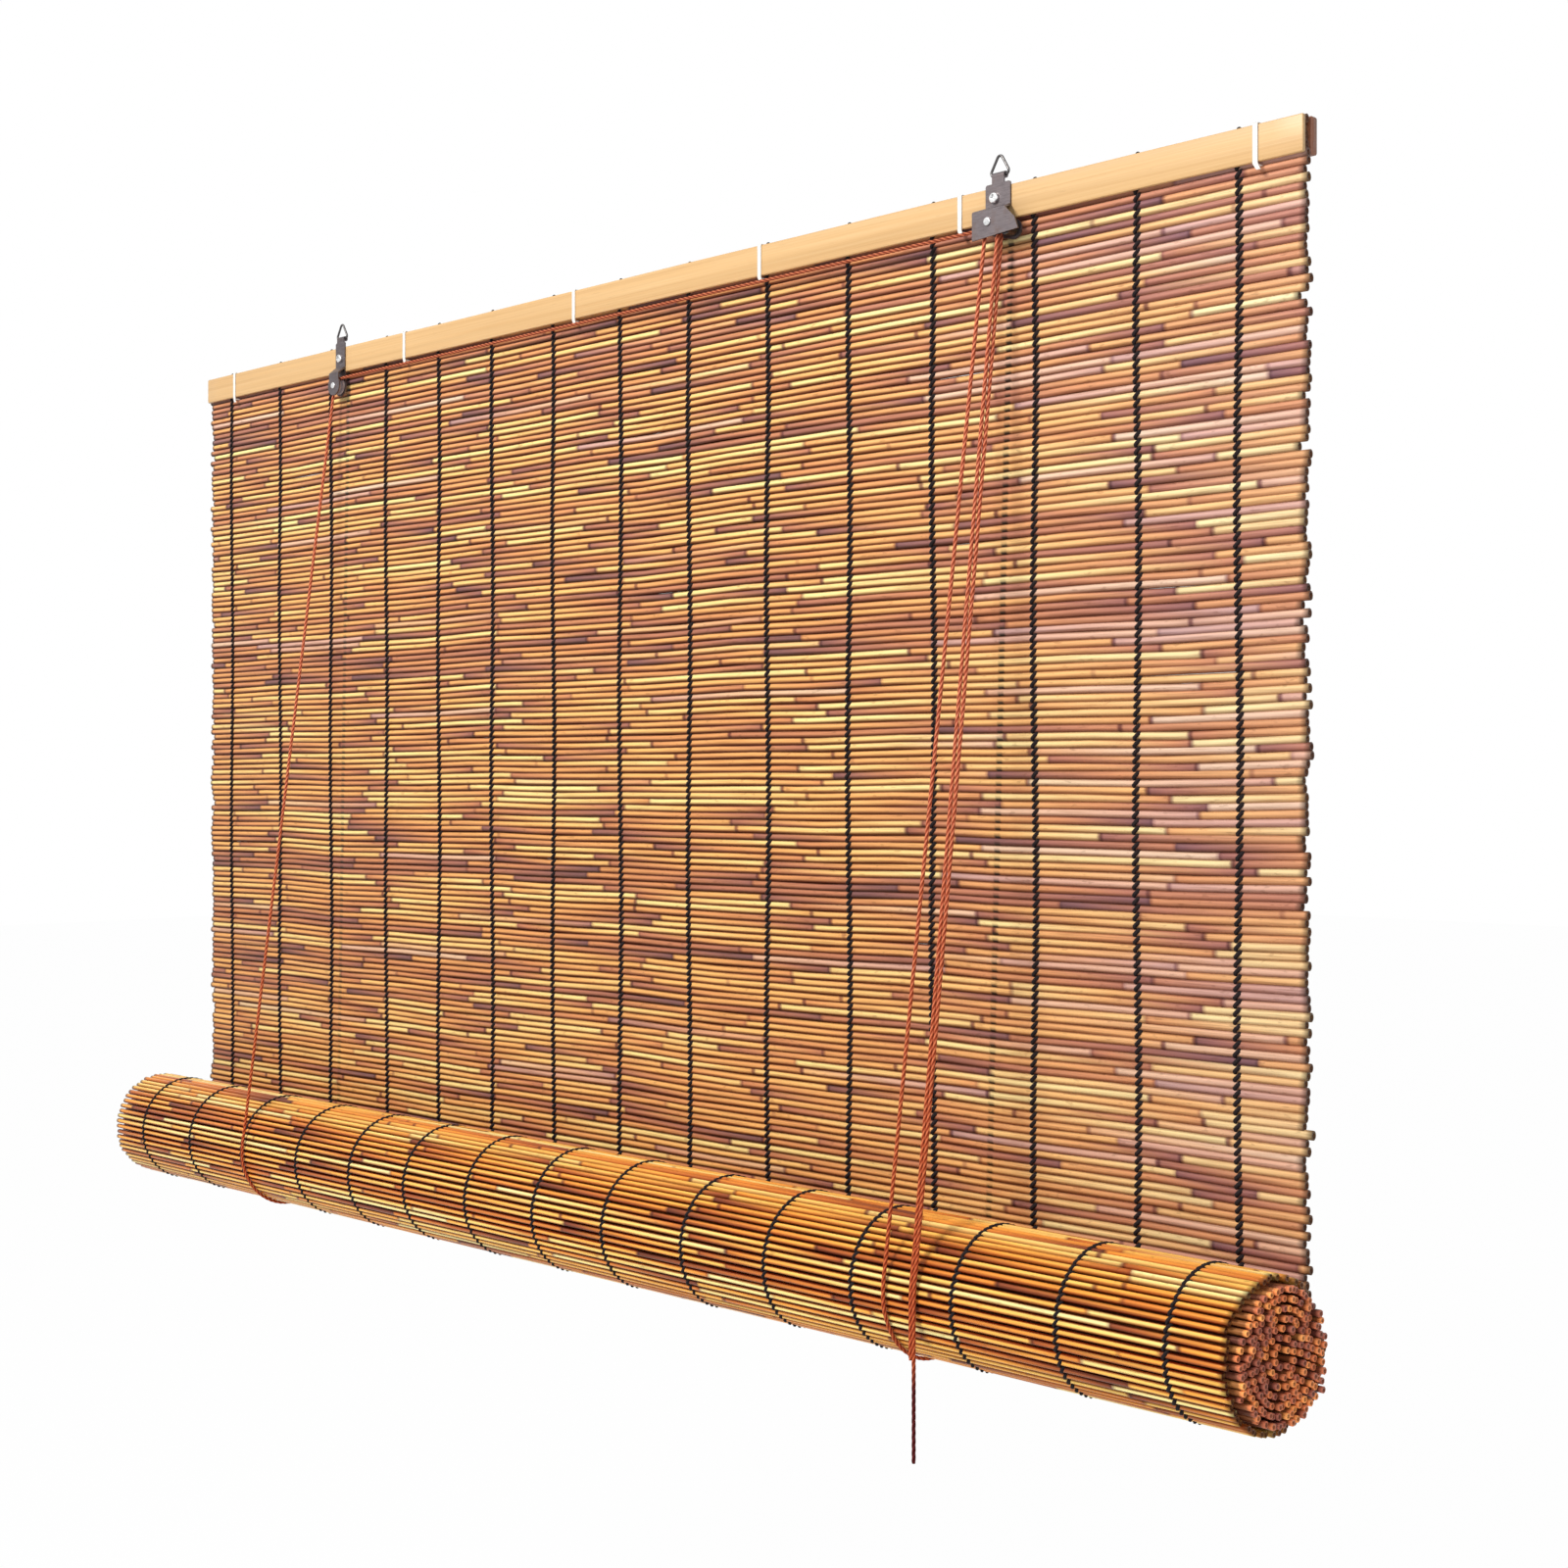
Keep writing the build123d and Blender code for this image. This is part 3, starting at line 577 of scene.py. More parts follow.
def sag(x, z):
    # slow common waver of the hanging mat, so that neighbours stay together: three long sines, none at the
    # head and at the foot
    head = shareOf(z, blind["topZ"], blind["topZ"] - matWaver["headFade"])
    foot = shareOf(z, blind["rollZ"], blind["rollZ"] + matWaver["footFade"])
    waves = sum(np.sin(x * alongX + z * alongZ + start) for alongX, alongZ, start in matWaver["waves"])
    return head * foot * matWaver["size"] * waves


def ringPlaces(joint, behind, left, right):
    # rings about each joint, half-way between joints, near each end and beside the painted shade of the cords
    # behind; the ends turn in
    count = len(joint)
    about = (joint[:, :, None] + np.array(reedLook["jointRings"])).reshape(count, -1)
    halfway = (joint[:, 1:] + joint[:, :-1]) / 2
    beside = (behind[:, :, None] + np.array(reedLook["slitShadeRings"])).reshape(count, -1)
    rings = [about, halfway, left + reedLook["endRing"], right - reedLook["endRing"], beside]
    rings = np.clip(np.concatenate(rings, 1), left + reedLook["endClear"], right - reedLook["endClear"])
    leftEnd = [left + reedLook["boreDepth"], left, left]
    rightEnd = [right, right, right - reedLook["boreDepth"]]
    return np.concatenate([*leftEnd, np.sort(rings, 1), *rightEnd], 1)


def alongSections(x, joint, step):
    # the section that each ring is in, its share of the way through it, and how far the nearest joint is
    gap = x[:, :, None] - joint[:, None, :]
    section = (gap > 0).sum(2)
    fence = np.concatenate([joint[:, :1] - step, joint, joint[:, -1:] + step], 1)
    start = np.take_along_axis(fence, section, 1)
    stop = np.take_along_axis(fence, section + 1, 1)
    return section, np.clip((x - start) / (stop - start), 0, 1), np.abs(gap).min(2)


def reedTints(draw, kind, outward, upward, behind, x, section, share, nearest):
    # the tone goes from straw to brown by a power of the share; then come the painted sheen, lilac sections,
    # more of them under the painted sheen, age by height, dark joints, painted shade in the bores, dark sawn
    # edges, and the painted crease shade round the reed
    count = len(x)
    eachSection = (count, reedLook["joints"] + 1)
    brown = np.take_along_axis(draw.uniform(*reedStainAndShade["brown"], eachSection), section, 1)
    straw = np.take_along_axis(draw.uniform(*reedStainAndShade["straw"], eachSection), section, 1)
    straw = straw + draw.choice(reedStainAndShade["browner"], count)[:, None]
    tone = np.clip(straw + brown * reedStainAndShade["brownShare"] * share ** reedStainAndShade["brownPower"], 0, 1)
    line = np.exp(-(nearest / reedStainAndShade["jointReach"]) ** 2)
    line = line * draw.uniform(*reedStainAndShade["joint"], count)[:, None]
    if kind["sheenX"]:
        paintedSheen = shareOf(x, *kind["sheenX"])
    else:
        paintedSheen = np.broadcast_to(np.sin(outward) ** 2, x.shape)
    sheened = reedTone(tone, kind) * (1 + paintedSheen[:, :, None] * np.array(kind["wash"]))
    chance = np.take_along_axis(draw.random(eachSection), section, 1)
    plainChance, fadedChance = reedStainAndShade["lilacChance"]
    lilac = shareOf(plainChance + fadedChance * paintedSheen - chance, 0, reedStainAndShade["lilacEdge"])
    lilac = lilac[:, :, None] * kind["lilac"]
    rgb = sheened * (1 - lilac) + np.array(reedStainAndShade["lilac"]) * lilac
    if kind["aged"]:
        foot, head = np.array(kind["aged"])
        rgb = np.minimum(rgb * (1 + foot + (head - foot) * upward[:, :, None]), 1)
    rgb = rgb * (1 - line[:, :, None] * np.array(reedStainAndShade["jointTint"]))
    # painted shade inside the bores
    rgb[:, reedLook["hollowRings"]] *= np.array(reedStainAndShade["boreShade"])
    tip = np.minimum(x - x[:, 1:2], x[:, -2:-1] - x)
    rgb = rgb * np.where(tip < reedStainAndShade["cutDepth"], reedStainAndShade["cutTint"], 1.0)[:, :, None]
    # painted shade in the slits in front of the cords behind
    slitShade = (np.abs(x[:, :, None] - behind[:, None, :]).min(2) < reedStainAndShade["rearCordHalf"]) * kind["slitShade"]
    colour = np.ones((*x.shape, reedLook["sides"], 4))
    colour[..., :3] = linear(rgb[:, :, None, :] * creaseShade(kind, paintedSheen * reedStainAndShade["creaseSheen"], slitShade))
    return colour


def reedTubes(reeds, seed, kind):
    # each reed is a tube along X: its radius tapers along each section and swells at the joints, and its
    # ends are hollow
    draw = np.random.default_rng(seed)
    y, z, outward, left, right = [reeds[key][:, None] for key in ("y", "z", "outward", "left", "right")]
    count, joints, stray = len(y), reedLook["joints"], reedLook["jointStray"]
    first = draw.uniform(*reedLook["firstJoint"], count)[:, None]
    step = (right - left) / joints
    joint = left + (np.arange(joints)[None, :] + first + draw.uniform(-stray, stray, (count, joints))) * step
    upward = shareOf(z, *reedStainAndShade["matSpan"])
    atFoot, atHead = np.array(reedStainAndShade["rearCords"])
    behind = atFoot + (atHead - atFoot) * upward
    x = ringPlaces(joint, behind, left, right)
    section, share, nearest = alongSections(x, joint, step)
    turned = (draw.random(count) < reedLook["turned"])[:, None]
    share = np.where(turned, 1 - share, share)
    swell = np.exp(-(nearest / reedLook["swellReach"]) ** 2)
    own = draw.uniform(*reedLook["ownSize"], count)[:, None]
    radius = kind["radius"] * own * (1 - reedLook["taper"] * (1 - share) + reedLook["swell"] * swell)
    radius[:, reedLook["hollowRings"]] *= reedLook["bore"]
    colour = reedTints(draw, kind, outward, upward, behind, x, section, share, nearest)
    wave = draw.uniform(*reedLook["waves"], count)[:, None]
    wanderY, wanderZ = reedLook["wander"]
    lineY = y + np.sin(x * wave + draw.uniform(*waveStart, count)[:, None]) * wanderY
    lineZ = z + np.sin(x * wave * reedLook["waveShare"] + draw.uniform(*waveStart, count)[:, None]) * wanderZ
    angle = outward[:, :, None] + sideAngles(reedLook["sides"])
    points = np.stack([
        np.broadcast_to(x[:, :, None], colour.shape[:3]),
        lineY[:, :, None] + radius[:, :, None] * np.cos(angle),
        lineZ[:, :, None] + radius[:, :, None] * np.sin(angle) * kind["tall"],
    ], -1)
    return points, colour


def pick(reeds, which):
    return {key: numbers[which] for key, numbers in reeds.items()}


def addReeds(name, reeds, seed, kindName):
    kind = reedKinds[kindName]
    points, colour = reedTubes(reeds, seed, kind)
    if kindName == "hanging":
        points[..., 2] += sag(points[..., 0], reeds["z"][:, None, None])
    faces = tubeFaces(len(points), points.shape[1], reedLook["sides"])
    stands = (kind["node"],)
    return addPiece(name, points, faces, kind["body"], kind["material"], stands, tints=colour)


def roughEnds(count, half, spread, seed):
    # left and right ends of the reeds, uneven by a few millimetres
    draw = np.random.default_rng(seed)
    limit = reedLook["endLimit"]
    left = -half + draw.normal(0, spread, count).clip(-limit, limit)
    right = half + draw.normal(0, spread, count).clip(-limit, limit)
    return left, right


matEnds = {"half": blind["width"] / 2 - 0.001, "spread": 0.0016, "seed": 4}
row = np.arange(blind["hangingReeds"])
matLeft, matRight = roughEnds(len(row), **matEnds)
mat = {
    "y": np.full(len(row), blind["matY"]),
    "z": blind["firstReedZ"] - row * blind["reedPitch"],
    "outward": np.full(len(row), math.pi),
    "left": matLeft,
    "right": matRight,
}
still = blind["stillReeds"]
addReeds("matReedsUpper", pick(mat, slice(0, still)), 21, "hanging")
lowerReeds = addReeds("matReedsLower", pick(mat, slice(still, None)), 22, "hanging")

# the roll: reeds along a spiral whose radius shrinks by one turn's pitch each turn
rollEnds = {"half": 0.611, "spread": 0.0012, "seed": 6}
rollLook = {
    "lean": 0.003,             # the right end stands out more at the back
    "rightSteps": ((0, 6.0, 7.0, 50), (-0.004, -0.004, 0.003, 0.002)),  # by angle wound up, in radians
    "leftSteps": ((0, 6.3, 12, 50), (-0.007, -0.006, -0.005, -0.003)),
    "outerTurns": 1.06,        # these have full detail
    "threadTurns": 0.93,
}
rollRow = np.arange(blind["rollReeds"])
wound = blind["turnPitch"] * rollRow * blind["reedPitch"] / math.pi
rollRadius = np.sqrt(blind["rollCentreRadius"] ** 2 - wound)
rollAngle = (blind["rollCentreRadius"] - rollRadius) * fullTurn / blind["turnPitch"]
rollLeft, rollRight = roughEnds(len(rollRow), **rollEnds)
roll = {
    "y": blind["rollY"] + rollRadius * np.cos(rollAngle),
    "z": blind["rollZ"] - rollRadius * np.sin(rollAngle),
    "outward": -rollAngle,
    "left": rollLeft + np.interp(rollAngle, *rollLook["leftSteps"]),
    "right": rollRight + np.cos(rollAngle) * rollLook["lean"] + np.interp(rollAngle, *rollLook["rightSteps"]),
}
outer = rollAngle < fullTurn * rollLook["outerTurns"]
addReeds("rollReedsOuter", pick(roll, outer), 31, "rolled")

innerReed = {
    "sides": 7,
    "seed": 32,
    "inset": (0.006, 0, 0, 0.003),  # rings from each end inwards: foot of the bore, its edge, rim and wall
    "size": (0.5, 0.55, 1.0, 1.0),  # of these rings, as shares of the radius
    # painted light at those rings: shade down the bore and on the wall, a highlight on the rim
    "light": (0.4, 0.85, 1.3, 0.66),
    "ownSize": (0.95, 1.08),
    "tone": (0.2, 0.9),
    "tint": (1.0, 0.88, 0.86),
}


def bothEnds(numbers):
    # the same numbers from each end inwards
    return np.array([*numbers, *reversed(numbers)])


def plainReeds(reeds):
    # inner turns show only at their ends: a straight tube with hollow ends
    draw = np.random.default_rng(innerReed["seed"])
    count, sides, inset = len(reeds["y"]), innerReed["sides"], np.array(innerReed["inset"])
    x = np.concatenate([reeds["left"][:, None] + inset, reeds["right"][:, None] - inset[::-1]], 1)
    own = reedKinds["rolled"]["radius"] * draw.uniform(*innerReed["ownSize"], count)[:, None]
    radius = (own * bothEnds(innerReed["size"]))[:, :, None]
    angle = sideAngles(sides) + draw.uniform(0, 1, count)[:, None, None]
    points = np.stack([
        np.broadcast_to(x[:, :, None], (*x.shape, sides)),
        reeds["y"][:, None, None] + radius * np.cos(angle),
        reeds["z"][:, None, None] + radius * np.sin(angle),
    ], -1)
    tone = np.broadcast_to(draw.uniform(*innerReed["tone"], count)[:, None], x.shape)
    rgb = reedTone(tone, reedKinds["hanging"]) * np.array(innerReed["tint"])
    rgb = rgb * bothEnds(innerReed["light"])[None, :, None]
    colour = np.concatenate([linear(rgb), np.ones((*x.shape, 1))], -1)
    return points, np.broadcast_to(colour[:, :, None, :], (*x.shape, sides, 4))


innerPoints, innerColour = plainReeds(pick(roll, ~outer))
innerFaces = tubeFaces(len(innerPoints), innerPoints.shape[1], innerReed["sides"])
addPiece("rollReedsInner", innerPoints, innerFaces, "roll", rolledReed, ("reed_roll",),
         tints=innerColour)
print("reeds done:", len(row), "hanging,", len(rollRow), "rolled")

# twined threads: two strands wind round each other and pass before and behind each reed by turns
twine = {
    "radius": {"headrail": 0.0014, "roll": 0.00125},
    "sway": {"headrail": 0.0019, "roll": 0.0013},
    "lift": {"headrail": 0.0026, "roll": 0.0018},
    "ringsPerReed": 4,
    "sides": 6,
    "creep": {                 # how far each thread is off its place, in millimetres
        "headrail": (-3, 0, 3, 8, 4, -3, -4, -3, -5, -2, -2, -5, 1, 1, -6),
        "roll": (-8, -6, 0, 5, 3, -1, -1, 1, 0, 4, 5, 4, 8, 8, 5),
    },
    "drift": 0.0012,           # slow waver down the mat, which starts over driftHead
    "driftWaves": 19,
    "driftStep": 2.4,          # from one thread to the next
    "driftHead": 0.1,
}


def twinedStrands(y, z, outY, outZ, body):
    # a double helix squared off along a line of reeds: the offset across the mat is a cosine of half a turn
    # per reed, raised to the power one half so that it hugs the crests, and the sway along X is the sine
    index = np.arange(len(y))
    place = np.linspace(0, len(y) - 1, (len(y) - 1) * twine["ringsPerReed"] + 1)
    lineY, lineZ, acrossY, acrossZ = [np.interp(place, index, numbers) for numbers in (y, z, outY, outZ)]
    cosine = np.cos(math.pi * place)
    across = np.sign(cosine) * np.sqrt(np.abs(cosine)) * twine["lift"][body]
    sway = np.sin(math.pi * place) * twine["sway"][body]
    return np.array([
        np.stack([way * sway, lineY + acrossY * across * way, lineZ + acrossZ * across * way], -1)
        for way in (1, -1)])


def strandTubes(centres, radius, sides):
    # a round section carried along each strand, square to its direction
    along = unit(np.gradient(centres, axis=1))
    sideways = np.broadcast_to(np.array([1.0, 0, 0]), along.shape)
    first = unit(sideways - along * (along * sideways).sum(2, keepdims=True))
    second = np.cross(along, first)
    angle = sideAngles(sides)[None, None, :, None]
    across = np.cos(angle) * first[:, :, None] + np.sin(angle) * second[:, :, None]
    return centres[:, :, None] + radius * across


def crept(body):
    return threadX + np.array(twine["creep"][body]) * millimetre


def addTwine(name, y, z, outY, outZ, body, node):
    tubes = strandTubes(twinedStrands(y, z, outY, outZ, body), twine["radius"][body], twine["sides"])
    shift = np.zeros((len(threadX), 1, 1, 1, 3))
    shift[:, 0, 0, 0, 0] = crept(body)
    points = tubes[None] + shift
    if body == "headrail":
        lane = np.arange(len(threadX))[:, None, None, None]
        waver = np.sin(points[..., 2] * twine["driftWaves"] + lane * twine["driftStep"])
        points[..., 0] += twine["drift"] * waver * shareOf(points[..., 2], 0, -twine["driftHead"])
        points[..., 2] += sag(points[..., 0], points[..., 2])
    faces = tubeFaces(len(threadX) * 2, tubes.shape[1], twine["sides"])
    return addPiece(name, points, faces, body, blackThread, (node,))


def addMatTwine(name, which):
    reeds = pick(mat, which)
    level = np.zeros(len(reeds["y"]))
    return addTwine(name, reeds["y"], reeds["z"], level + 1, level, "headrail", "warp_threads")


addMatTwine("matTwineUpper", slice(0, still + 1))
lowerTwine = addMatTwine("matTwineLower", slice(still, None))
turn = rollAngle < fullTurn * rollLook["threadTurns"]
addTwine("rollTwine", roll["y"][turn], roll["z"][turn], np.cos(rollAngle[turn]), -np.sin(rollAngle[turn]),
         "roll", "roll_threads")

knotLump = {"pole": 0.12, "size": 0.18, "round": 3, "down": 4}


def knotBalls(x, y, z, size, rings, sides):
    # small lumps: a sphere grid whose radius has a wave along its two angles
    down = np.linspace(knotLump["pole"], math.pi - knotLump["pole"], rings)[:, None]
    about = sideAngles(sides)[None, :]
    lump = 1 + knotLump["size"] * np.sin(knotLump["round"] * about + knotLump["down"] * down)
    ball = np.stack([
        np.sin(down) * np.cos(about) * lump * size[0],
        np.sin(down) * np.sin(about) * lump * size[1],
        -np.cos(down) * np.ones_like(about) * size[2],
    ], -1)
    centres = np.stack([x, np.full_like(x, y), np.full_like(x, z)], -1)
    return centres[:, None, None] + ball[None], tubeFaces(len(x), rings, sides)


twineKnot = {
    "y": blind["matY"] - 0.0012,
    "z": blind["topZ"] + 0.0004,
    "size": (0.0016, 0.0016, 0.0018),
    "rings": 6,
    "sides": 8,
}
knotPoints, knotFaces = knotBalls(crept("headrail"), **twineKnot)
addPiece("twineKnots", knotPoints, knotFaces, "headrail", blackThread)
print("threads done")

# battens: a rounded slat carried along X with a slight waver
slat = {
    "halfWidth": 0.6,
    "halfHeight": 0.011,
    "corner": 0.0009,
    "cornerSteps": (0, 30, 60, 90),
    "rings": 60,
    "bevel": 0.0005,           # length of the narrowed ends
    "endShare": 0.955,
    "waver": 0.00009,
    "waves": (9, 17, 31),
}


def slatSurface(yFront, yBack, seed):
    # section: a rectangle with rounded corners, a few points to a corner
    draw = np.random.default_rng(seed)
    corner = slat["corner"]
    steps = np.radians(slat["cornerSteps"])
    angles = np.concatenate([steps + start for start in np.radians([0, 90, 180, 270])])
    signs = np.repeat(np.array([[1, 1], [-1, 1], [-1, -1], [1, -1]]), len(steps), axis=0)
    sectionY = signs[:, 0] * ((yBack - yFront) / 2 - corner) + corner * np.cos(angles)
    sectionZ = signs[:, 1] * (slat["halfHeight"] - corner) + corner * np.sin(angles)
    x = np.linspace(-slat["halfWidth"], slat["halfWidth"], slat["rings"])
    x = np.concatenate([x[:1], x[:1] + slat["bevel"], x[1:-1], x[-1:] - slat["bevel"], x[-1:]])
    grow = np.ones((len(x), 1))
    grow[[0, -1]] = slat["endShare"]
    waver = sum(np.sin(x * waves + draw.uniform(*waveStart)) for waves in slat["waves"]) * slat["waver"]
    return np.stack([
        np.broadcast_to(x[:, None], (len(x), len(angles))),
        sectionY * grow + (yFront + yBack) / 2,
        sectionZ * grow + waver[:, None],
    ], -1)


slats = (
    ("frontSlat", -0.015, -0.0121, "front_batten", 3, paleBamboo),
    ("rearSlat", -0.006, 0.0, "rear_batten", 5, stainedBamboo),
)
for slatName, yFront, yBack, node, seed, material in slats:
    slatPoints = slatSurface(yFront, yBack, seed)
    slatFaces = tubeFaces(1, *slatPoints.shape[:2])
    addPiece(slatName, slatPoints, slatFaces, "headrail", material, (node,))

# ties: flat tape round the slat and the top reeds, with a short tail
tape = {
    "x": (-0.552, -0.28, -0.0538, 0.154, 0.3421, 0.5684),
    "halfWidth": 0.0018,
    "thickness": 0.0008,
    "frontY": -0.0155,
    "backY": -0.0064,
    "highZ": 0.0114,
    "lowZ": -0.0128,
    "corner": 0.0012,
    "cornerSteps": 5,
    "tailStart": (0.0004, -0.0155, -0.0122),
    "tailReach": (0.0026, -0.0008, -0.0042),
    "tailPowers": (1.5, 1, 1),
    "tailSteps": 7,
    "tailShare": 0.85,         # of the loop's width
}
tapeX = np.array(tape["x"])
tapeAcross = np.array([-1, -0.6, 0.6, 1, 1, 0.6, -0.6, -1]) * tape["halfWidth"]  # section with bevelled edges
tapeThrough = np.array([0.25, 0.5, 0.5, 0.25, -0.25, -0.5, -0.5, -0.25]) * tape["thickness"]


def tapeLoops():
    # a rectangle in the YZ plane, each corner rounded by a quadratic curve, with the flat section carried
    # round it
    front, back, high, low = tape["frontY"], tape["backY"], tape["highZ"], tape["lowZ"]
    corners = np.array([[front, high], [front, low], [back, low], [back, high]])
    before, after = [corners + unit(np.roll(corners, way, 0) - corners) * tape["corner"] for way in (1, -1)]
    t = np.linspace(0, 1, tape["cornerSteps"])[None, :, None]
    path = (1 - t) ** 2 * before[:, None] + 2 * t * (1 - t) * corners[:, None] + t ** 2 * after[:, None]
    path = path.reshape(-1, 2)
    along = unit(np.roll(path, -1, 0) - np.roll(path, 1, 0))
    points = np.empty((len(tapeX), len(path), len(tapeAcross), 3))
    points[..., 0] = tapeX[:, None, None] + tapeAcross
    points[..., 1] = path[None, :, :1] + along[None, :, 1:] * tapeThrough
    points[..., 2] = path[None, :, 1:] - along[None, :, :1] * tapeThrough
    return points


def tapeTails():
    # a short strip that leaves the loop's lower front edge and bends down and, by a power, to the right
    t = np.linspace(0, 1, tape["tailSteps"])[:, None]
    centre = np.array(tape["tailStart"]) + np.array(tape["tailReach"]) * t ** np.array(tape["tailPowers"])
    points = np.empty((len(tapeX), len(t), len(tapeAcross), 3))
    points[..., 0] = tapeX[:, None, None] + centre[None, :, None, 0] + tapeAcross * tape["tailShare"]
    points[..., 1] = centre[None, :, None, 1] + tapeThrough
    points[..., 2] = centre[None, :, None, 2]
    return points


loopPoints, tailPoints = tapeLoops(), tapeTails()
loopTotal = loopPoints.size // 3
tailQuads, tailTris = tubeFaces(*tailPoints.shape[:3])
tapePoints = np.concatenate([loopPoints.reshape(-1, 3), tailPoints.reshape(-1, 3)])
tapeFaces = np.concatenate([loopQuads(*loopPoints.shape[:3]), tailQuads + loopTotal]), tailTris + loopTotal
addPiece("tapeTies", tapePoints, tapeFaces, "headrail", whiteTape, ("batten_ties",))
print("battens and ties done")

# cords
cordLook = {
    "radius": 0.00135,
    "plies": 3,
    "turnLength": 0.015,       # of the plies, along the cord
    "groove": 0.1,             # half the depth between plies, as a share of the radius
    "sides": 12,
    "step": 0.0012,            # from ring to ring
    "fewestRings": 8,
    "endShare": 0.82,          # cut ends are narrower
    "smoothness": 96,
    "pathPoints": 120,         # in the line that is handed on
}


def cordLine(points):
    # points along the smooth NURBS line that has the route's points as its control points
    curve = bpy.data.curves.new("route", "CURVE")
    curve.dimensions = "3D"
    curve.resolution_u = cordLook["smoothness"]
    spline = curve.splines.new("NURBS")
    spline.points.add(len(points) - 1)
    weighted = np.concatenate([np.asarray(points, float), np.ones((len(points), 1))], 1)
    spline.points.foreach_set("co", weighted.ravel())
    spline.order_u = 3
    spline.use_endpoint_u = True
    holder = bpy.data.objects.new("route", curve)
    bpy.context.scene.collection.objects.link(holder)
    bpy.context.view_layer.update()
    mesh = bpy.data.meshes.new_from_object(holder)
    line = np.empty(len(mesh.vertices) * 3, np.float32)
    mesh.vertices.foreach_get("co", line)
    bpy.data.objects.remove(holder)
    bpy.data.curves.remove(curve)
    bpy.data.meshes.remove(mesh)
    return line.reshape(-1, 3).astype(float)


def cordTube(line):
    # plies laid round the line: the section's radius has one crest for each ply, which turn with the length
    far = np.concatenate([[0], np.cumsum(np.linalg.norm(np.diff(line, axis=0), axis=1))])
    rings = max(int(far[-1] / cordLook["step"]), cordLook["fewestRings"])
    length = np.linspace(0, far[-1], rings)
    centre = np.stack([np.interp(length, far, line[:, i]) for i in range(3)], -1)
    along = unit(np.gradient(centre, axis=0))
    guide = np.eye(3)[np.argmin(np.abs(along).max(0))]
    first = unit(guide - along * (along @ guide)[:, None])
    second = np.cross(along, first)
    angle = sideAngles(cordLook["sides"])[None, :]
    crest = np.cos(cordLook["plies"] * (angle - length[:, None] * fullTurn / cordLook["turnLength"]))
    radius = cordLook["radius"] * (1 - cordLook["groove"] * (1 - crest))
    radius[[0, -1]] *= cordLook["endShare"]
    across = np.cos(angle)[:, :, None] * first[:, None] + np.sin(angle)[:, :, None] * second[:, None]
    return centre[:, None] + radius[:, :, None] * across, 0.5 + 0.5 * crest, far[-1]


def addCord(name, points, body, nodes, material=salmonCord):
    line = cordLine(points)
    tube, plies, length = cordTube(line)
    piece = addPiece(name, tube, tubeFaces(1, *tube.shape[:2]), body, material, nodes, plies=plies)
    return piece


def shrinks(piece):
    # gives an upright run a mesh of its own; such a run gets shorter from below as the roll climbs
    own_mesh(piece)


sling = {
    "x": {"left": (-0.3892, -0.3945), "right": (0.3616, 0.3545)},  # at the head of the mat and at the roll
    "degrees": (15, 45, 75, 105, 135, 165),  # round the roll, where 0 is at the back and 90 below
    "halfStep": 15,
    "clear": 0.0034,           # of the cord's line, off the reeds' line
}


def roundRoll(x):
    # control points round the roll, far enough out for the line between them to clear the reeds' spiral
    angles = np.radians(sling["degrees"])
    spiral = blind["rollCentreRadius"] - blind["turnPitch"] * angles / fullTurn
    reach = (spiral + sling["clear"]) / math.cos(math.radians(sling["halfStep"]))
    y = blind["rollY"] + reach * np.cos(angles)
    z = blind["rollZ"] - reach * np.sin(angles)
    return [(x, *place) for place in zip(y, z)]


# a front run shortens above the parting height; below it the cord stays on the roll
parting = -0.658
frontRun = {
    "left": ((-0.3812, -0.0191, -0.0297), (-0.3815, -0.0208, -0.044), (-0.3942, -0.1004, -0.67)),
    "right": ((0.3696, -0.0225, -0.0199), (0.3693, -0.0242, -0.0338), (0.3548, -0.1005, -0.67)),
}


def atParting(high, low):
    # the point of a straight run at the parting height
    share = (parting - high[2]) / (low[2] - high[2])
    return tuple(a + (b - a) * share for a, b in zip(high, low))


for side, (topX, x) in sling["x"].items():
    backNode, frontNode, slingNode = [side + "_lift_cord_" + place for place in ("back", "front", "sling")]
    head, foot = (topX, -0.003, 0.011), (x, -0.0053, -0.6899)
    behind = addCord(side + "LiftBehind", [head, (topX, -0.003, -0.004), (x, -0.00525, -0.675), foot],
                     "headrail", (backNode,))
    shrinks(behind)
    top, bend, low = frontRun[side]
    halt = atParting(bend, low)
    front = addCord(side + "LiftFront", [top, bend, halt], "headrail", (frontNode,))
    shrinks(front)
    addCord(side + "Sling", [foot, *roundRoll(x), (x, -0.1026, -0.6838), low, halt],
            "sling", (slingNode, frontNode))
addCord("crossingLift", [
    (-0.3812, -0.0191, -0.0294), (-0.3812, -0.0191, -0.0208), (-0.3776, -0.0191, -0.0172),
    (-0.3606, -0.0191, -0.0172), (0.3470, -0.0191, -0.0161), (0.3625, -0.0191, -0.0160),
    (0.3680, -0.0191, -0.0100), (0.3726, -0.0191, -0.0074), (0.3804, -0.0191, -0.0095),
    (0.3804, -0.0191, -0.0196)],
    "headrail", ("crossing_cord",), shadedCord)
addCord("rightLiftWrap", [
    (0.3696, -0.0225, -0.0196), (0.3696, -0.0225, -0.0082),
    (0.3804, -0.0225, -0.0082), (0.3804, -0.0225, -0.0196)],
    "headrail", ("right_lift_cord_wrap",))
strands = (
    ("longPull", -0.0191, 0.3817, 0.3803, -0.0999),
    ("shortPull", -0.0225, 0.3792, 0.3777, -0.037),
)
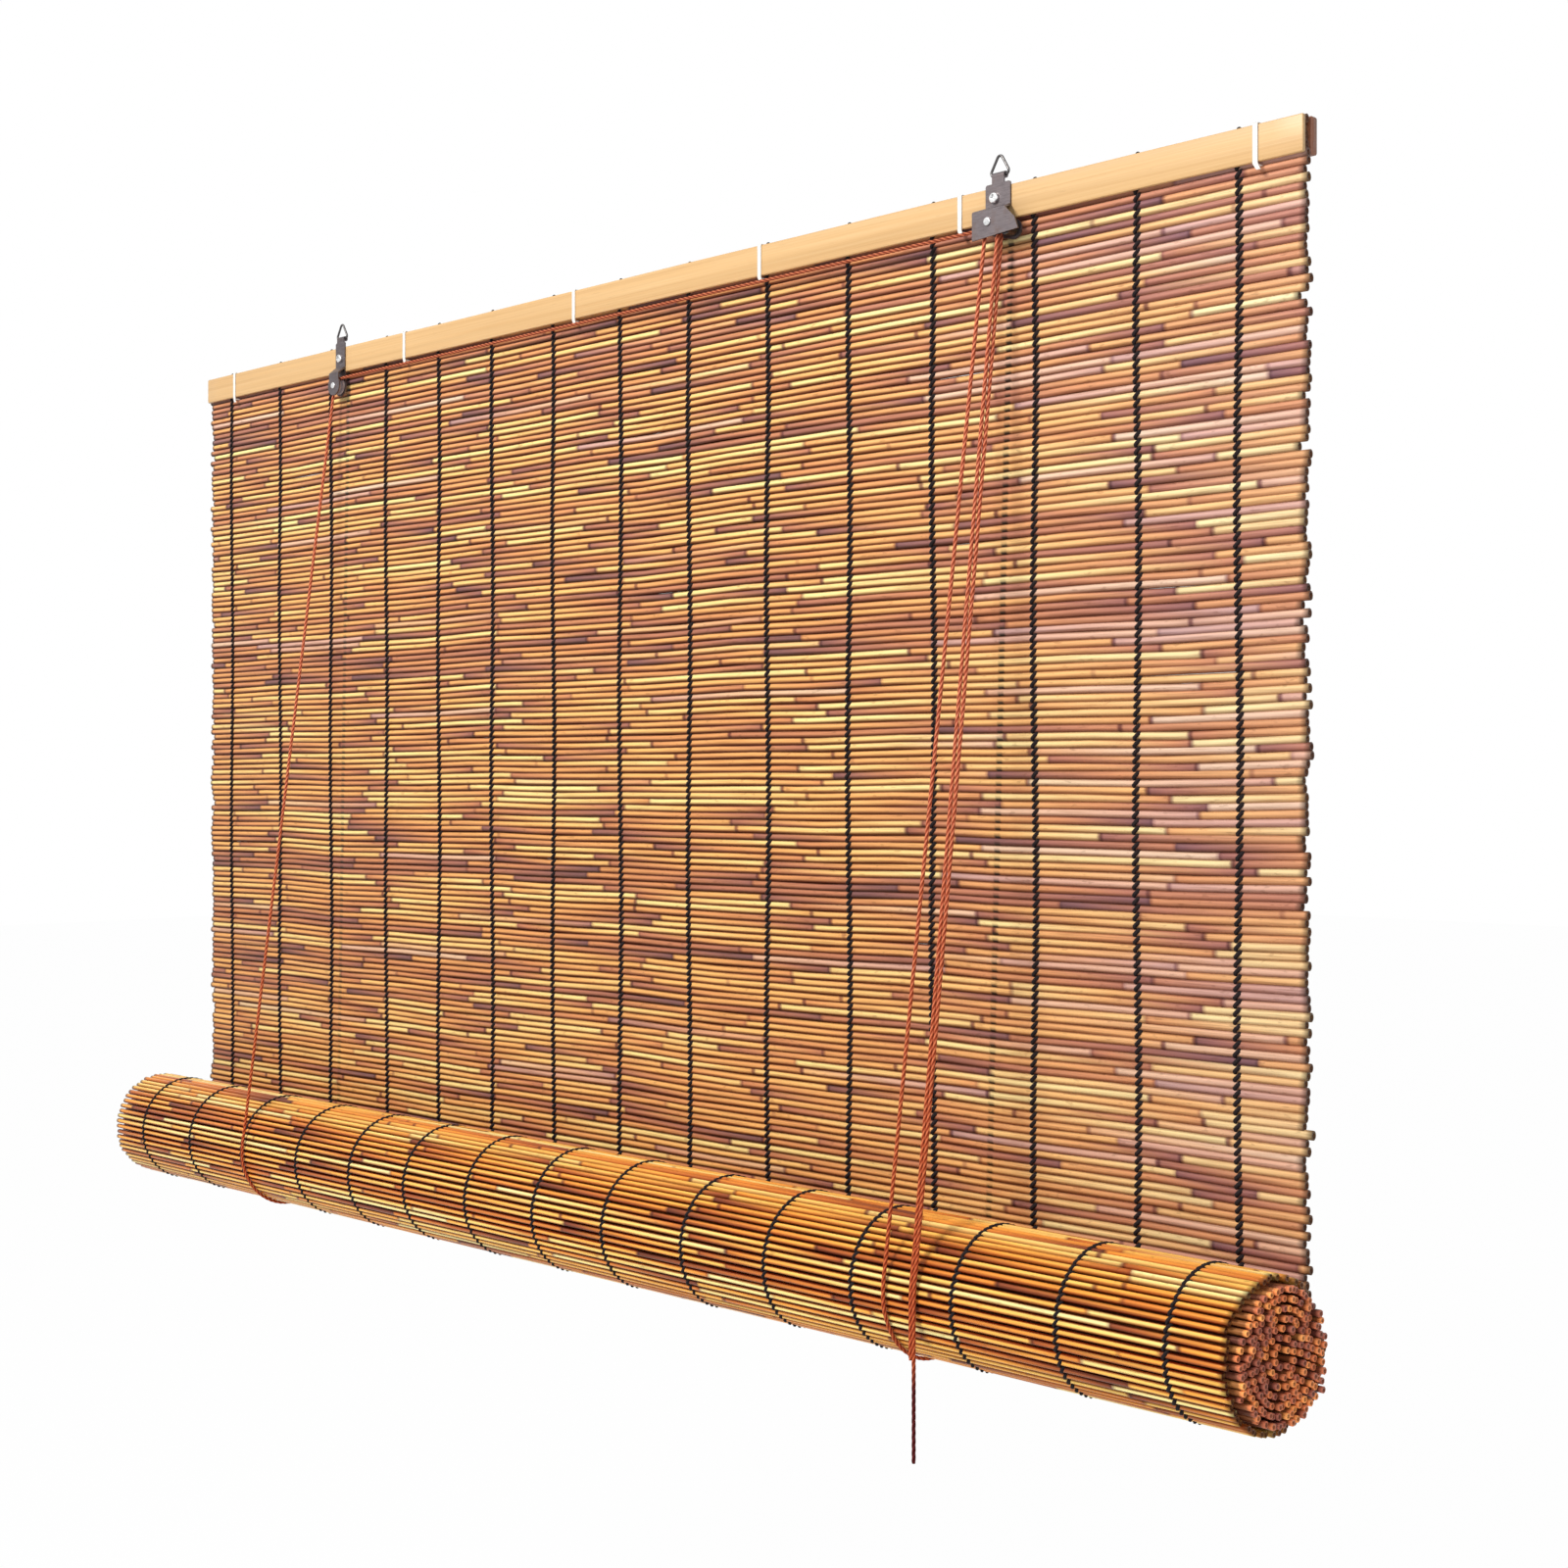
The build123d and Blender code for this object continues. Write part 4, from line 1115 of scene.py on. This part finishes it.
for name, y, bendX, footX, drop in strands:
    top, bend, low = (0.3804, y, -0.0199), (bendX, y - 0.0017, -0.0338), (footX, -0.1004, -0.67)
    halt = atParting(bend, low)
    run = addCord(name + "Strand", [top, bend, halt], "headrail", ("pull_cord_strands",))
    shrinks(run)
    addCord(name + "Tail", [
        halt, low, (footX, -0.1026, -0.6838), (footX, -0.1027, -0.706),
        (footX, -0.1027, blind["rollZ"] + drop)],
        "sling", ("pull_cord_tails", "pull_cord_strands"), tailCord)

anchorKnot = {"y": -0.0031, "z": 0.0131, "size": (0.0025, 0.0025, 0.0023), "rings": 12, "sides": 14}
anchorPlies = (2600, 0, 3100)  # waves per metre of X, Y and Z
for side, places in sling["x"].items():
    anchorPoints, anchorFaces = knotBalls(np.array(places[:1]), **anchorKnot)
    # ply-like waves, which the cord's ramp turns into painted shade and highlight
    wavePlies = 0.5 + 0.5 * np.sin((anchorPoints * anchorPlies).sum(-1))
    addPiece(side + "AnchorKnot", anchorPoints, anchorFaces, "headrail", salmonCord,
             (side + "_anchor_knot",), plies=wavePlies)

# the lower mat gets meshes of its own; it gets shorter from below as the roll climbs
for piece in (lowerReeds, lowerTwine):
    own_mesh(piece)
print("cords done")

# metal and pulleys of the hangers keep their solids
finishOf = {
    platedSheet: (
        "left_hanger_plate", "left_back_cheek", "lock_front_plate", "lock_back_cheek", "lock_cam_pin"),
    brightHead: ("left_pulley_rivet", "left_screw", "lock_pulley_rivet", "lock_screw"),
    ringWire: ("left_ring", "lock_ring", "lock_cam"),
    darkPlastic: ("lock_pulley",),
    palePlastic: ("left_pulley",),
}
for material, names in finishOf.items():
    for name in names:
        cad[name].data.materials.clear()
        cad[name].data.materials.append(material)
print("hangers done")


# stage, light and camera
def whiteToCamera(tree, lit, white, strength):
    # camera, mirror and glass rays see plain white by the strength; other rays see the lit shader
    ray = addNode(tree, "ShaderNodeLightPath")
    seen = ray.outputs["Is Camera Ray"]
    for kind in ("Is Glossy Ray", "Is Transmission Ray"):
        either = addNode(tree, "ShaderNodeMath", operation="MAXIMUM")
        tree.links.new(seen, either.inputs[0])
        tree.links.new(ray.outputs[kind], either.inputs[1])
        seen = either.outputs[0]
    share = addNode(tree, "ShaderNodeMath", operation="MULTIPLY")
    share.inputs[1].default_value = strength
    mixer = addNode(tree, "ShaderNodeMixShader")
    tree.links.new(seen, share.inputs[0])
    tree.links.new(share.outputs[0], mixer.inputs["Fac"])
    tree.links.new(lit, mixer.inputs[1])
    tree.links.new(white, mixer.inputs[2])
    return mixer.outputs["Shader"]


paleFloor = {"z": -1.25, "half": 12.0, "roughness": 0.9, "colour": (0.9, 0.9, 0.9, 1), "white": 0.985}
floorMesh = bpy.data.meshes.new("paleFloor")
floorCorners = [(across, along, paleFloor["z"]) for across, along in (
    np.array([(-1, -1), (1, -1), (1, 1), (-1, 1)]) * paleFloor["half"])]
floorMesh.from_pydata(floorCorners, [], [(0, 1, 2, 3)])
floor = bpy.data.objects.new("paleFloor", floorMesh)
bpy.context.scene.collection.objects.link(floor)
floorMaterial, floorTree, floorShader = newMaterial("paleFloor", paleFloor["roughness"])
setSockets(floorShader, {"Base Color": paleFloor["colour"]})
glow = addNode(floorTree, "ShaderNodeEmission")
floorSeen = whiteToCamera(
    floorTree, floorShader.outputs["BSDF"], glow.outputs["Emission"], paleFloor["white"])
floorTree.links.new(floorSeen, floorTree.nodes["Material Output"].inputs["Surface"])
floorMesh.materials.append(floorMaterial)

softRoom = {"colour": (0.93, 0.95, 1.0, 1), "strength": 0.28, "white": 1.0}
world = bpy.data.worlds.new("softRoom")
bpy.context.scene.world = world
world.use_nodes = True
worldTree = world.node_tree
room = worldTree.nodes["Background"]
setSockets(room, {"Color": softRoom["colour"], "Strength": softRoom["strength"]})
plain = addNode(worldTree, "ShaderNodeBackground", {"Color": (1, 1, 1, 1)})
roomSeen = whiteToCamera(
    worldTree, room.outputs["Background"], plain.outputs["Background"], softRoom["white"])
worldTree.links.new(roomSeen, worldTree.nodes["World Output"].inputs["Surface"])

lamps = {
    "keyLamp": {
        "place": (-0.2, -2.3, 1.4),
        "target": (0.1, 0.0, -0.45),
        "size": 1.0,
        "power": 80,
        "colour": (1.0, 0.97, 0.92),
    },
    "fillLamp": {
        "place": (2.4, -1.6, 0.5),
        "target": (0.2, 0.0, -0.4),
        "size": 1.6,
        "power": 20,
        "colour": (0.94, 0.96, 1.0),
    },
}
for name, look in lamps.items():
    lamp = bpy.data.lights.new(name, "AREA")
    lamp.shape = "DISK"
    lamp.size = look["size"]
    lamp.energy = look["power"]
    lamp.color = look["colour"]
    holder = bpy.data.objects.new(name, lamp)
    bpy.context.scene.collection.objects.link(holder)
    holder.location = look["place"]
    aim = unit(np.array(look["target"]) - np.array(look["place"]))
    holder.rotation_euler = (math.acos(-aim[2]), 0, math.atan2(aim[1], aim[0]) - math.pi / 2)

view = {"lens": 51.615, "sensor": 36.0, "near": 0.05, "yaw": 45.3, "place": (1.3047, -1.1294, -0.373)}
camera = bpy.data.cameras.new("photoCamera")
camera.sensor_width = view["sensor"]
camera.lens = view["lens"]
camera.clip_start = view["near"]
cameraObject = bpy.data.objects.new("photoCamera", camera)
bpy.context.scene.collection.objects.link(cameraObject)
cameraObject.location = view["place"]
cameraObject.rotation_euler = (math.pi / 2, 0, math.radians(view["yaw"]))
bpy.context.scene.camera = cameraObject
bpy.context.scene.view_settings.view_transform = "Standard"
print("stage, light and camera done")
